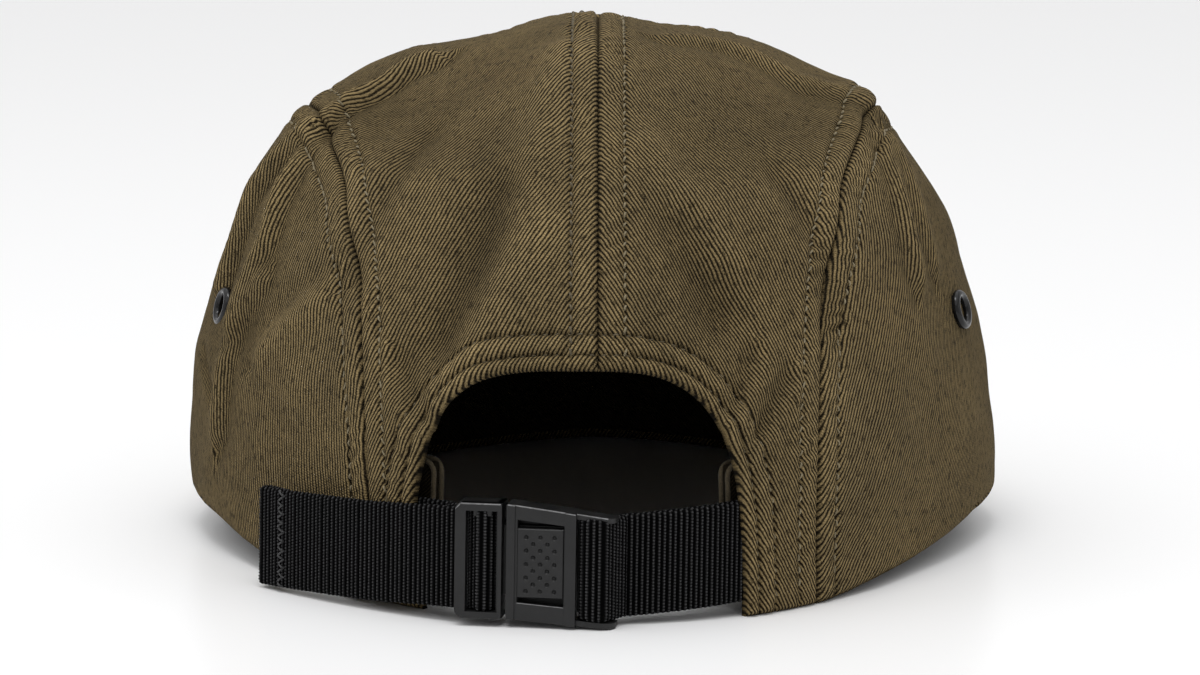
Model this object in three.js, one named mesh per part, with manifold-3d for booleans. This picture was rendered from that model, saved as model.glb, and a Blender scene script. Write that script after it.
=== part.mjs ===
// A five-panel cloth cap with a flat visor, two vent eyelets and a webbing strap across a half-moon opening.
// Millimetres, +Z up. The visor points along -Y and the strap is at +Y; left and right are the wearer's.
import * as THREE from 'three';
import { mergeVertices } from 'three/addons/utils/BufferGeometryUtils.js';
import Module from 'manifold-3d';

const wasm = await Module();
wasm.setup();

// Crown: the outer form of the cloth
const HALF_WIDTH = 89.5;
const BACK_REACH = 105;
const FRONT_REACH = 86;
const CROWN_HEIGHT = 111.2;
const RIM_LIFT = 8.5;
const BACK_NARROWING = 0.42;
const FRONT_NARROWING = 0.08;
const BACK_FULLNESS = 2.2;
const SIDE_FULLNESS = 2.45;
const FRONT_FULLNESS = 2.4;
const WALL = 1.6;
const GAP = 0.3;
const CROWN_COLUMNS = 80;
const CROWN_ROWS = 17;

// Back opening, a half moon over the strap
const OPENING_CENTRE = 3;
const OPENING_HALF_WIDTH = 34.6;
const OPENING_HEIGHT = 51.2;
const OPENING_SQUARENESS = 3.2;
const OPENING_STEPS = 36;

// Seams between the panels, seen from above
const CENTRE_SEAM = -1;
const FRONT_SEAM_SHARE = -0.26;

// Visor
const VISOR_HALF_WIDTH = 74;
const VISOR_REACH = 68;
const VISOR_HALF_ANGLE = 48;
const VISOR_THICKNESS = 3;
const VISOR_ARCH = 3.2;
const VISOR_FRONT_ARCH = 1.6;
const VISOR_SQUARENESS = 2.4;
const VISOR_COLUMNS = 32;
const VISOR_ROWS = 7;

// Sweatband inside the rim
const BAND_HEIGHT = 28;
const BAND_THICKNESS = 1.6;
const BAND_ABOVE_RIM = 2;
const BAND_CLEARANCE = 0.5;
const BAND_END_INSET = 5.4;
const BAND_EASE = 0.3;
const BAND_COLUMNS = 60;

// Vent eyelets
const EYELET_AZIMUTH = 12;
const EYELET_RISE = 20.6;
const EYELET_RADIUS = 4.4;
const EYELET_HOLE_RADIUS = 2.4;
const EYELET_BARREL_WALL = 0.5;
const EYELET_RIM_HEIGHT = 1.3;
const EYELET_BACK_HEIGHT = 0.6;
const EYELET_BACK_RADIUS = 3.9;
const EYELET_SEAT = 0.6;
const EYELET_SIDES = 24;

// Webbing
const STRAP_WIDTH = 20.4;
const STRAP_THICKNESS = 1.5;
const STRAP_BOTTOM = 3.1;
const STRAP_LEAN = 5;
const STRAP_HIDDEN_LENGTH = 13;
const TAIL_AZIMUTH = 38.5;
const TAIL_STAND_OFF = 3.4;
const FOLD_LENGTH = 5;

// Buckle, in its own frame: u runs to the wearer's left, n out of its face and w up
const BUCKLE_AZIMUTH = 82.5;
const BUCKLE_PROUD = 2.4;
const BUCKLE_DEPTH = 6;
const FACE_THICKNESS = 2.2;
const RAIL_THICKNESS = 1.1;
const MALE_FRAME_LENGTH = 9.6;
const MALE_BAR = 2.2;
const MALE_INNER_BAR = 1.3;
const MALE_END_BAR = 1.2;
const HALF_GAP = 1;
const FEMALE_LEFT_BAR = 2.2;
const WINDOW_LENGTH = 9.6;
const WINDOW_HEIGHT = 17.6;
const FEMALE_RIGHT_BAR = 2.4;
const RAIL_LENGTH = 7.8;
const RAIL_DEPTH = 4.6;
const PIN_SIZE = 2.2;
const PAD_HEIGHT = 14;
const PAD_SINK = 0.5;
const TONGUE_THICKNESS = 2;
const FEMALE_DROP = 0.068;

// Rim height above the table as a share of RIM_LIFT, by azimuth: 90 is the back, 0 the side, -90 the front
const RIM_TABLE = [
  { azimuth: 90, lift: 0 },
  { azimuth: 58, lift: 0 },
  { azimuth: 45, lift: 0.3 },
  { azimuth: 20, lift: 0.85 },
  { azimuth: 0, lift: 1 },
  { azimuth: -20, lift: 0.85 },
  { azimuth: -45, lift: 0.3 },
  { azimuth: -62, lift: 0.12 },
  { azimuth: -90, lift: 0.4 },
];

// Side seam seen from above: along as a share of BACK_REACH, out as a share of HALF_WIDTH
const SIDE_SEAM_TABLE = [
  { along: 1.2, out: 0.5 },
  { along: 0.71, out: 0.52 },
  { along: 0.6, out: 0.537 },
  { along: 0.38, out: 0.581 },
  { along: 0.08, out: 0.643 },
  { along: -0.06, out: 0.682 },
  { along: -0.29, out: 0.715 },
  { along: -0.48, out: 0.737 },
  { along: -0.62, out: 0.749 },
  { along: -1.2, out: 0.76 },
];

// Folds of the cloth: x as a share of HALF_WIDTH, z of CROWN_HEIGHT, rise of WALL (ridges are positive)
// and width of HALF_WIDTH. Each runs along three points on the back half of the crown.
const FOLD_TABLE = [
  { x0: -0.01, z0: 1.02, x1: -0.01, z1: 0.99, x2: -0.01, z2: 0.96, rise: 1.3, width: 0.12 },
  { x0: 0.46, z0: 0.93, x1: 0.64, z1: 0.86, x2: 0.79, z2: 0.7, rise: 1.1, width: 0.075 },
  { x0: 0.24, z0: 0.97, x1: 0.36, z1: 0.93, x2: 0.46, z2: 0.86, rise: -0.8, width: 0.07 },
  { x0: 0.7, z0: 0.79, x1: 0.8, z1: 0.63, x2: 0.84, z2: 0.5, rise: 0.7, width: 0.055 },
  { x0: -0.25, z0: 0.95, x1: -0.46, z1: 0.91, x2: -0.64, z2: 0.86, rise: 0.8, width: 0.07 },
  { x0: -0.64, z0: 0.86, x1: -0.72, z1: 0.7, x2: -0.77, z2: 0.56, rise: 0.9, width: 0.06 },
  { x0: 0.22, z0: 0.76, x1: 0.32, z1: 0.62, x2: 0.4, z2: 0.48, rise: -1.0, width: 0.08 },
  { x0: -0.2, z0: 0.72, x1: -0.26, z1: 0.62, x2: -0.3, z2: 0.52, rise: -0.9, width: 0.08 },
  { x0: 0.1, z0: 0.92, x1: 0.19, z1: 0.72, x2: 0.3, z2: 0.5, rise: 0.6, width: 0.06 },
];

const radians = THREE.MathUtils.degToRad;
const CENTRE_Y = -8;
const RIM_FADE = 0.32;
const REACH = 400;

// The named column of a table at a place between its rows
function columnAt(table, place, column, at) {
  const rising = table[0][place] < table[table.length - 1][place];
  const rows = rising ? table : [...table].reverse();
  const last = rows.length - 1;
  if (at <= rows[0][place]) return rows[0][column];
  if (at >= rows[last][place]) return rows[last][column];
  const next = rows.findIndex((row) => row[place] > at);
  const low = rows[next - 1];
  const high = rows[next];
  const share = THREE.MathUtils.smoothstep(at, low[place], high[place]);
  const even = (at - low[place]) / (high[place] - low[place]);
  return THREE.MathUtils.lerp(low[column], high[column], (share + even) / 2);
}

// Azimuth folded to the left half of the cap, from -90 at the front to 90 at the back
function foldedAzimuth(azimuth) {
  return THREE.MathUtils.radToDeg(Math.asin(Math.sin(radians(azimuth))));
}

function rimLift(azimuth) {
  return RIM_LIFT * columnAt(RIM_TABLE, 'azimuth', 'lift', foldedAzimuth(azimuth));
}

// The rim seen from above, an egg that narrows towards the strap
function rimPlan(azimuth) {
  const side = Math.cos(radians(azimuth));
  const along = Math.sin(radians(azimuth));
  const narrowing = along > 0 ? BACK_NARROWING : FRONT_NARROWING;
  const reach = (along > 0 ? BACK_REACH : FRONT_REACH) * along * (1 - narrowing * Math.abs(side) ** 3);
  return new THREE.Vector2(HALF_WIDTH * side, CENTRE_Y + reach);
}

function rimOutset(azimuth, outset) {
  const step = 0.5;
  const here = rimPlan(azimuth);
  const along = rimPlan(azimuth + step).sub(rimPlan(azimuth - step)).normalize();
  return here.add(new THREE.Vector2(along.y, -along.x).multiplyScalar(outset));
}

// How square the profile is, by azimuth
function fullness(azimuth) {
  const along = Math.sin(radians(azimuth));
  const end = along > 0 ? BACK_FULLNESS : FRONT_FULLNESS;
  return THREE.MathUtils.lerp(SIDE_FULLNESS, end, along * along);
}

function smoothCrown(azimuth, rise) {
  const power = 2 / fullness(azimuth);
  const inward = Math.max(0, Math.cos(radians(rise))) ** power;
  const upward = Math.sin(radians(rise)) ** power;
  const rim = rimPlan(azimuth);
  const lift = rimLift(azimuth);
  return new THREE.Vector3(
    rim.x * inward,
    CENTRE_Y + (rim.y - CENTRE_Y) * inward,
    lift + (CROWN_HEIGHT - lift) * upward,
  );
}

function crownNormal(azimuth, rise) {
  const step = 1.5;
  const high = Math.min(rise + step, 90);
  const low = Math.max(rise - step, 0);
  const around = smoothCrown(azimuth + step, rise).sub(smoothCrown(azimuth - step, rise));
  const up = smoothCrown(azimuth, high).sub(smoothCrown(azimuth, low));
  const normal = around.cross(up);
  if (rise > 90 - step) return new THREE.Vector3(0, 0, 1);
  return normal.normalize();
}

function distanceToRun(x, z, fold) {
  const point = new THREE.Vector2(x, z);
  const runs = [
    [new THREE.Vector2(fold.x0, fold.z0), new THREE.Vector2(fold.x1, fold.z1)],
    [new THREE.Vector2(fold.x1, fold.z1), new THREE.Vector2(fold.x2, fold.z2)],
  ];
  const distances = runs.map(([start, end]) => {
    const run = end.clone().sub(start);
    const share = THREE.MathUtils.clamp(point.clone().sub(start).dot(run) / run.lengthSq(), 0, 1);
    return point.distanceTo(start.clone().addScaledVector(run, share));
  });
  return Math.min(...distances);
}

// Height of the folds over the smooth form, none at the rim and on the front half
function foldRise(point) {
  const x = point.x / HALF_WIDTH;
  const z = point.z / CROWN_HEIGHT;
  const fade = THREE.MathUtils.smoothstep(z, RIM_FADE, RIM_FADE + 0.1)
    * THREE.MathUtils.smoothstep(point.y, CENTRE_Y - HALF_WIDTH * 0.7, CENTRE_Y);
  let rise = 0;
  for (const fold of FOLD_TABLE) {
    const away = distanceToRun(x, z, fold) / fold.width;
    rise += fold.rise * WALL * Math.exp(-away * away);
  }
  return rise * fade;
}

function crownPoint(azimuth, rise, inset) {
  const point = smoothCrown(azimuth, rise);
  const height = point.z;
  const normal = crownNormal(azimuth, rise);
  point.addScaledVector(normal, foldRise(point) - inset);
  if (rise === 0) point.z = height;
  return point;
}

// Closed meshes, booleans and back
function geometryFrom(points, triangles) {
  const geometry = new THREE.BufferGeometry();
  geometry.setAttribute('position', new THREE.Float32BufferAttribute(points.flatMap((p) => p.toArray()), 3));
  geometry.setIndex(triangles.flat());
  return geometry;
}

function solidFrom(geometry) {
  const plain = geometry.clone();
  plain.deleteAttribute('normal');
  plain.deleteAttribute('uv');
  const merged = mergeVertices(plain, 1e-4);
  const index = merged.index.array;
  const kept = [];
  for (let i = 0; i < index.length; i += 3) {
    const [a, b, c] = index.slice(i, i + 3);
    if (a !== b && b !== c && c !== a) kept.push(a, b, c);
  }
  const mesh = new wasm.Mesh({
    numProp: 3,
    vertProperties: new Float32Array(merged.attributes.position.array),
    triVerts: new Uint32Array(kept),
  });
  return new wasm.Manifold(mesh);
}

function geometryOf(solid) {
  const mesh = solid.getMesh();
  const geometry = new THREE.BufferGeometry();
  geometry.setAttribute('position', new THREE.Float32BufferAttribute(mesh.vertProperties, 3));
  geometry.setIndex(new THREE.Uint32BufferAttribute(mesh.triVerts, 1));
  geometry.computeVertexNormals();
  return geometry;
}

function joined(solids) {
  return solids.reduce((sum, solid) => sum.add(solid));
}

// A closed sheet from an outer and an inner grid of points. Rows run along it, and a wrapped sheet closes
// on itself from its last column to its first.
function sheetGeometry(outer, inner, wrapped) {
  const rows = outer.length;
  const columns = outer[0].length;
  const points = [...outer.flat(), ...inner.flat()];
  const half = rows * columns;
  const triangles = [];
  const quad = (a, b, c, d) => triangles.push([a, b, c], [a, c, d]);
  const at = (row, column) => row * columns + (column % columns);
  const lastColumn = wrapped ? columns : columns - 1;
  for (let i = 0; i < rows - 1; i += 1) {
    for (let j = 0; j < lastColumn; j += 1) {
      quad(at(i, j), at(i, j + 1), at(i + 1, j + 1), at(i + 1, j));
      quad(half + at(i, j), half + at(i + 1, j), half + at(i + 1, j + 1), half + at(i, j + 1));
    }
  }
  for (let j = 0; j < lastColumn; j += 1) {
    quad(half + at(0, j), half + at(0, j + 1), at(0, j + 1), at(0, j));
    quad(at(rows - 1, j), at(rows - 1, j + 1), half + at(rows - 1, j + 1), half + at(rows - 1, j));
  }
  for (let i = 0; i < rows - 1 && !wrapped; i += 1) {
    quad(at(i, 0), at(i + 1, 0), half + at(i + 1, 0), half + at(i, 0));
    quad(half + at(i, columns - 1), half + at(i + 1, columns - 1), at(i + 1, columns - 1), at(i, columns - 1));
  }
  return geometryFrom(points, triangles);
}

function prism(outline, depth) {
  const shape = new THREE.Shape(outline);
  return new THREE.ExtrudeGeometry(shape, { depth, bevelEnabled: false });
}

function block(fromU, toU, fromN, toN, fromW, toW) {
  const size = [Math.abs(toU - fromU), Math.abs(toN - fromN), Math.abs(toW - fromW)];
  const geometry = new THREE.BoxGeometry(...size);
  geometry.translate((fromU + toU) / 2, (fromN + toN) / 2, (fromW + toW) / 2);
  return solidFrom(geometry);
}

function roundBar(centreU, centreN, radius, fromW, toW) {
  const geometry = new THREE.CylinderGeometry(radius, radius, toW - fromW, 12);
  geometry.rotateX(Math.PI / 2);
  geometry.translate(centreU, centreN, (fromW + toW) / 2);
  return solidFrom(geometry);
}

// Crown shell, then its cuts
function crownGrid(inset) {
  const grid = [];
  for (let i = 0; i <= CROWN_ROWS; i += 1) {
    const rise = (90 * i) / CROWN_ROWS;
    const row = [];
    for (let j = 0; j < CROWN_COLUMNS; j += 1) {
      row.push(crownPoint((360 * j) / CROWN_COLUMNS, rise, inset));
    }
    grid.push(row);
  }
  return grid;
}

function openingCutter() {
  const outline = [new THREE.Vector2(OPENING_HALF_WIDTH, -OPENING_HEIGHT)];
  for (let i = 0; i <= OPENING_STEPS; i += 1) {
    const turn = (Math.PI * i) / OPENING_STEPS;
    const power = 2 / OPENING_SQUARENESS;
    const x = Math.sign(Math.cos(turn)) * Math.abs(Math.cos(turn)) ** power;
    outline.push(new THREE.Vector2(OPENING_HALF_WIDTH * x, OPENING_HEIGHT * Math.sin(turn) ** power));
  }
  outline.push(new THREE.Vector2(-OPENING_HALF_WIDTH, -OPENING_HEIGHT));
  const geometry = prism(outline, REACH);
  geometry.rotateX(Math.PI / 2);
  geometry.translate(OPENING_CENTRE, REACH, 0);
  return solidFrom(geometry);
}

function eyeletPlace(side) {
  const azimuth = side > 0 ? EYELET_AZIMUTH : 180 - EYELET_AZIMUTH;
  const normal = crownNormal(azimuth, EYELET_RISE);
  return { point: crownPoint(azimuth, EYELET_RISE, 0), normal };
}

function turnToNormal(geometry, place) {
  const turn = new THREE.Quaternion().setFromUnitVectors(new THREE.Vector3(0, 1, 0), place.normal);
  geometry.applyQuaternion(turn);
  geometry.translate(place.point.x, place.point.y, place.point.z);
  return geometry;
}

function eyeletCutter(side) {
  const radius = EYELET_HOLE_RADIUS + EYELET_BARREL_WALL + GAP;
  const geometry = new THREE.CylinderGeometry(radius, radius, WALL * 8, EYELET_SIDES);
  return solidFrom(turnToNormal(geometry, eyeletPlace(side)));
}

// Side seam from front to back as seen from above, moved outwards by a margin
function sideSeam(side, margin) {
  const steps = 24;
  const points = [];
  for (let i = 0; i <= steps; i += 1) {
    const along = THREE.MathUtils.lerp(-1.2, 1.2, i / steps);
    const out = columnAt(SIDE_SEAM_TABLE, 'along', 'out', along) * HALF_WIDTH + margin;
    points.push(new THREE.Vector2(side * out, along * BACK_REACH));
  }
  return points;
}

function standing(outline) {
  const ordered = THREE.ShapeUtils.isClockWise(outline) ? [...outline].reverse() : outline;
  const geometry = prism(ordered, REACH);
  geometry.translate(0, 0, -REACH / 2);
  return solidFrom(geometry);
}

function sideRegion(side) {
  const seam = sideSeam(side, GAP / 2);
  const front = seam[0];
  const back = seam[seam.length - 1];
  return standing([
    ...seam,
    new THREE.Vector2(side * REACH, back.y),
    new THREE.Vector2(side * REACH, front.y),
  ]);
}

function middleRegion() {
  const left = sideSeam(1, -GAP / 2);
  const right = sideSeam(-1, -GAP / 2).reverse();
  return standing([...left, ...right]);
}

function slab(fromX, toX, fromY, toY) {
  return standing([
    new THREE.Vector2(fromX, fromY),
    new THREE.Vector2(toX, fromY),
    new THREE.Vector2(toX, toY),
    new THREE.Vector2(fromX, toY),
  ]);
}

function crownPanels() {
  let crown = solidFrom(sheetGeometry(crownGrid(0), crownGrid(WALL), true));
  for (const cutter of [openingCutter(), eyeletCutter(1), eyeletCutter(-1)]) crown = crown.subtract(cutter);
  const frontSeam = FRONT_SEAM_SHARE * BACK_REACH;
  const middle = crown.intersect(middleRegion());
  const half = GAP / 2;
  return {
    front_panel: middle.intersect(slab(-REACH, REACH, -REACH, frontSeam - half)),
    back_panel_left: middle.intersect(slab(CENTRE_SEAM + half, REACH, frontSeam + half, REACH)),
    back_panel_right: middle.intersect(slab(-REACH, CENTRE_SEAM - half, frontSeam + half, REACH)),
    side_panel_left: crown.intersect(sideRegion(1)),
    side_panel_right: crown.intersect(sideRegion(-1)),
  };
}

// Visor: a flat peak, gently arched from side to side, that starts at the front rim
function visorGeometry() {
  const power = 2 / VISOR_SQUARENESS;
  const rootEnd = rimOutset(-90 + VISOR_HALF_ANGLE, GAP);
  const front = CENTRE_Y - FRONT_REACH - VISOR_REACH;
  const surface = (thickness) => {
    const grid = [];
    for (let i = 0; i <= VISOR_ROWS; i += 1) {
      const row = [];
      for (let j = 0; j <= VISOR_COLUMNS; j += 1) {
        const share = (2 * j) / VISOR_COLUMNS - 1;
        const turn = (share * Math.PI) / 2;
        const root = rimOutset(-90 + share * VISOR_HALF_ANGLE, GAP);
        const edge = new THREE.Vector2(
          VISOR_HALF_WIDTH * Math.sign(turn) * Math.abs(Math.sin(turn)) ** power,
          rootEnd.y + (front - rootEnd.y) * Math.max(0, Math.cos(turn)) ** power,
        );
        const place = root.lerp(edge, i / VISOR_ROWS);
        const arch = THREE.MathUtils.lerp(VISOR_ARCH, VISOR_FRONT_ARCH, i / VISOR_ROWS);
        const across = Math.min(1, Math.abs(place.x) / VISOR_HALF_WIDTH);
        row.push(new THREE.Vector3(place.x, place.y, arch * (1 - across * across) + thickness));
      }
      grid.push(row);
    }
    return grid;
  };
  return sheetGeometry(surface(0), surface(VISOR_THICKNESS), false);
}

// Sweatband: from one side of the opening round the front to the other, further in near its ends
function openingAzimuth(x) {
  return THREE.MathUtils.radToDeg(Math.acos(x / HALF_WIDTH));
}

function sweatbandGeometry() {
  const left = openingAzimuth(OPENING_CENTRE + OPENING_HALF_WIDTH) + 1;
  const right = openingAzimuth(OPENING_CENTRE - OPENING_HALF_WIDTH) - 1;
  const start = left;
  const end = right - 360;
  const face = (depth) => {
    const rows = [];
    for (const height of [0, BAND_HEIGHT]) {
      const row = [];
      for (let j = 0; j <= BAND_COLUMNS; j += 1) {
        const share = j / BAND_COLUMNS;
        const azimuth = THREE.MathUtils.lerp(start, end, share);
        const nearEnd = 1 - THREE.MathUtils.smoothstep(Math.min(share, 1 - share), 0, BAND_EASE / 2);
        const inset = WALL + BAND_CLEARANCE + BAND_END_INSET * nearEnd + depth + height * 0.06;
        const place = rimOutset(azimuth, -inset);
        row.push(new THREE.Vector3(place.x, place.y, rimLift(azimuth) + BAND_ABOVE_RIM + height));
      }
      rows.push(row);
    }
    return rows;
  };
  return sheetGeometry(face(BAND_THICKNESS), face(0), false);
}

// Eyelet: a rolled rim outside the cloth, a barrel through it and a thin back rim
function eyeletGeometry(side) {
  const hole = EYELET_HOLE_RADIUS;
  const barrel = hole + EYELET_BARREL_WALL;
  const outer = EYELET_SEAT;
  const inner = -WALL - EYELET_SEAT;
  const profile = [
    [hole, inner - EYELET_BACK_HEIGHT],
    [EYELET_BACK_RADIUS, inner - EYELET_BACK_HEIGHT],
    [EYELET_BACK_RADIUS, inner],
    [barrel, inner],
    [barrel, outer],
    [EYELET_RADIUS, outer],
    [EYELET_RADIUS, outer + EYELET_RIM_HEIGHT * 0.5],
    [EYELET_RADIUS * 0.86, outer + EYELET_RIM_HEIGHT],
    [EYELET_RADIUS * 0.7, outer + EYELET_RIM_HEIGHT],
    [hole, outer + EYELET_RIM_HEIGHT * 0.4],
    [hole, inner - EYELET_BACK_HEIGHT],
  ];
  const lathe = new THREE.LatheGeometry(profile.map(([r, h]) => new THREE.Vector2(r, h)), EYELET_SIDES);
  return geometryOf(solidFrom(turnToNormal(lathe, eyeletPlace(side))));
}

// Buckle frame in the plan of the cap
const buckleOrigin = rimOutset(BUCKLE_AZIMUTH, BUCKLE_PROUD);
const buckleAlong = rimPlan(BUCKLE_AZIMUTH - 1).sub(rimPlan(BUCKLE_AZIMUTH + 1)).normalize();
const buckleOut = new THREE.Vector2(-buckleAlong.y, buckleAlong.x);

function fromBuckle(u, n) {
  return buckleOrigin.clone().addScaledVector(buckleAlong, u).addScaledVector(buckleOut, n);
}

// Places of the buckle's bars along u, from the wearer's left to right, about the middle of the whole buckle
const femaleLength = FEMALE_LEFT_BAR + WINDOW_LENGTH + FEMALE_RIGHT_BAR + RAIL_LENGTH;
const buckleHalf = (MALE_FRAME_LENGTH + HALF_GAP + femaleLength) / 2;
const maleLeft = buckleHalf;
const maleRight = maleLeft - MALE_FRAME_LENGTH;
const femaleLeft = maleRight - HALF_GAP;
const windowLeft = femaleLeft - FEMALE_LEFT_BAR;
const windowRight = windowLeft - WINDOW_LENGTH;
const barRight = windowRight - FEMALE_RIGHT_BAR;
const railRight = barRight - RAIL_LENGTH;
const buckleBottom = STRAP_BOTTOM - GAP - RAIL_THICKNESS;
const buckleTop = STRAP_BOTTOM + STRAP_WIDTH + GAP + RAIL_THICKNESS;
const middleHeight = (buckleBottom + buckleTop) / 2;

// Depths along n of the webbing layers in the buckle
const layer = STRAP_THICKNESS + GAP;
const tailDepth = -FACE_THICKNESS - GAP - STRAP_THICKNESS / 2;
const backDepth = tailDepth - layer;
const overDepth = -STRAP_THICKNESS / 2 - GAP;
const innerBarDepth = (overDepth + backDepth) / 2;
const innerBarHalf = (overDepth - backDepth) / 2 - layer / 2 - GAP;
const innerTurn = MALE_INNER_BAR / 2 + GAP + STRAP_THICKNESS / 2;
const innerBarCentre = maleRight + MALE_END_BAR + GAP + STRAP_THICKNESS / 2 + innerTurn;
const pinCentre = barRight - GAP - STRAP_THICKNESS - GAP - PIN_SIZE / 2;
const pinDepth = -BUCKLE_DEPTH / 2;
const pinTurn = PIN_SIZE / 2 + GAP + STRAP_THICKNESS / 2;

function buckleMale() {
  const rail = RAIL_THICKNESS;
  const tongueTop = middleHeight + PAD_HEIGHT / 2;
  const tongueBottom = middleHeight - PAD_HEIGHT / 2;
  const tongueFront = -FACE_THICKNESS - GAP;
  const tongueBack = tongueFront - TONGUE_THICKNESS;
  const innerFront = innerBarDepth + innerBarHalf;
  const innerBack = innerBarDepth - innerBarHalf;
  return joined([
    block(maleLeft, maleRight, 0, -BUCKLE_DEPTH, buckleBottom, buckleBottom + rail),
    block(maleLeft, maleRight, 0, -BUCKLE_DEPTH, buckleTop - rail, buckleTop),
    block(maleLeft, maleLeft - MALE_BAR, 0, -FACE_THICKNESS, buckleBottom, buckleTop),
    block(maleRight + MALE_END_BAR, maleRight, 0, -BUCKLE_DEPTH, buckleBottom, buckleTop),
    block(
      innerBarCentre + MALE_INNER_BAR / 2,
      innerBarCentre - MALE_INNER_BAR / 2,
      innerFront,
      innerBack,
      buckleBottom,
      buckleTop,
    ),
    block(maleRight + MALE_END_BAR / 2, windowRight + GAP, tongueFront, tongueBack, tongueBottom, tongueTop),
    block(windowLeft - GAP, windowRight + GAP, -PAD_SINK, tongueBack, tongueBottom, tongueTop),
  ]);
}

function buckleFemale() {
  const windowTop = middleHeight + WINDOW_HEIGHT / 2;
  const windowBottom = middleHeight - WINDOW_HEIGHT / 2;
  const channelTop = middleHeight + PAD_HEIGHT / 2 + 2 * GAP;
  const channelBottom = middleHeight - PAD_HEIGHT / 2 - 2 * GAP;
  const channelBack = -FACE_THICKNESS - 2 * GAP - TONGUE_THICKNESS;
  const rail = RAIL_THICKNESS;
  const railFront = -(BUCKLE_DEPTH - RAIL_DEPTH) / 2;
  const body = block(femaleLeft, barRight, 0, -BUCKLE_DEPTH, buckleBottom, buckleTop)
    .subtract(block(femaleLeft + 1, windowRight, -FACE_THICKNESS, channelBack, windowBottom, windowTop))
    .subtract(block(windowLeft, windowRight, 1, -FACE_THICKNESS - GAP, windowBottom, windowTop));
  return joined([
    body,
    block(barRight + 1, railRight, railFront, railFront - RAIL_DEPTH, buckleBottom, buckleBottom + rail),
    block(barRight + 1, railRight, railFront, railFront - RAIL_DEPTH, buckleTop - rail, buckleTop),
    roundBar(pinCentre, pinDepth, PIN_SIZE / 2, buckleBottom + rail / 2, buckleTop - rail / 2),
  ]);
}

// The receiving half and its webbing hang a little lower towards the wearer's right
function sag(u) {
  const rimU = fromRim(OPENING_CENTRE - OPENING_HALF_WIDTH);
  const lowest = FEMALE_DROP * (femaleLeft - railRight);
  if (u > railRight) return FEMALE_DROP * Math.max(0, femaleLeft - u);
  return lowest * Math.max(0, 1 - (railRight - u) / (railRight - rimU));
}

function fromRim(x) {
  return rimPlan(openingAzimuth(x)).sub(buckleOrigin).dot(buckleAlong);
}

function lowered(geometry, alongBuckle) {
  const place = geometry.attributes.position;
  for (let i = 0; i < place.count; i += 1) {
    place.setZ(i, place.getZ(i) - sag(alongBuckle(place.getX(i), place.getY(i))));
  }
  return geometry;
}

// Turns the buckle's own frame into the cap's, leaning back with the cloth
function intoCap(geometry) {
  const lean = Math.tan(radians(STRAP_LEAN));
  const turn = new THREE.Matrix4().set(
    buckleAlong.x, buckleOut.x, -lean * buckleOut.x, buckleOrigin.x,
    buckleAlong.y, buckleOut.y, -lean * buckleOut.y, buckleOrigin.y,
    0, 0, 1, 0,
    0, 0, 0, 1,
  );
  return geometry.applyMatrix4(turn);
}

// Webbing: a flat ribbon that stands on edge along a path in plan
function webbing(path) {
  const half = STRAP_THICKNESS / 2;
  const side = (sign) => path.map((point, i) => {
    const before = path[Math.max(0, i - 1)];
    const after = path[Math.min(path.length - 1, i + 1)];
    const along = after.clone().sub(before).normalize();
    return point.clone().addScaledVector(new THREE.Vector2(-along.y, along.x), sign * half);
  });
  const outline = [...side(1), ...side(-1).reverse()];
  const ordered = THREE.ShapeUtils.isClockWise(outline) ? outline.reverse() : outline;
  const geometry = prism(ordered, STRAP_WIDTH);
  const lean = Math.tan(radians(STRAP_LEAN));
  geometry.translate(0, 0, STRAP_BOTTOM);
  const shear = new THREE.Matrix4().set(
    1, 0, -lean * buckleOut.x, 0,
    0, 1, -lean * buckleOut.y, 0,
    0, 0, 1, 0,
    0, 0, 0, 1,
  );
  return geometry.applyMatrix4(shear);
}

function rimStretch(fromAzimuth, toAzimuth, steps, outset) {
  const points = [];
  for (let i = 0; i <= steps; i += 1) {
    const share = i / steps;
    points.push(rimOutset(THREE.MathUtils.lerp(fromAzimuth, toAzimuth, share), outset(share)));
  }
  return points;
}

function halfTurn(centreU, centreN, radiusU, radiusN, facing, startN) {
  const steps = 6;
  const points = [];
  for (let i = 0; i <= steps; i += 1) {
    const turn = (Math.PI * i) / steps;
    points.push(fromBuckle(
      centreU + facing * radiusU * Math.sin(turn),
      centreN + startN * radiusN * Math.cos(turn),
    ));
  }
  return points;
}

function hiddenTurn(x) {
  return THREE.MathUtils.radToDeg(STRAP_HIDDEN_LENGTH / rimPlan(openingAzimuth(x)).length());
}

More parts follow.
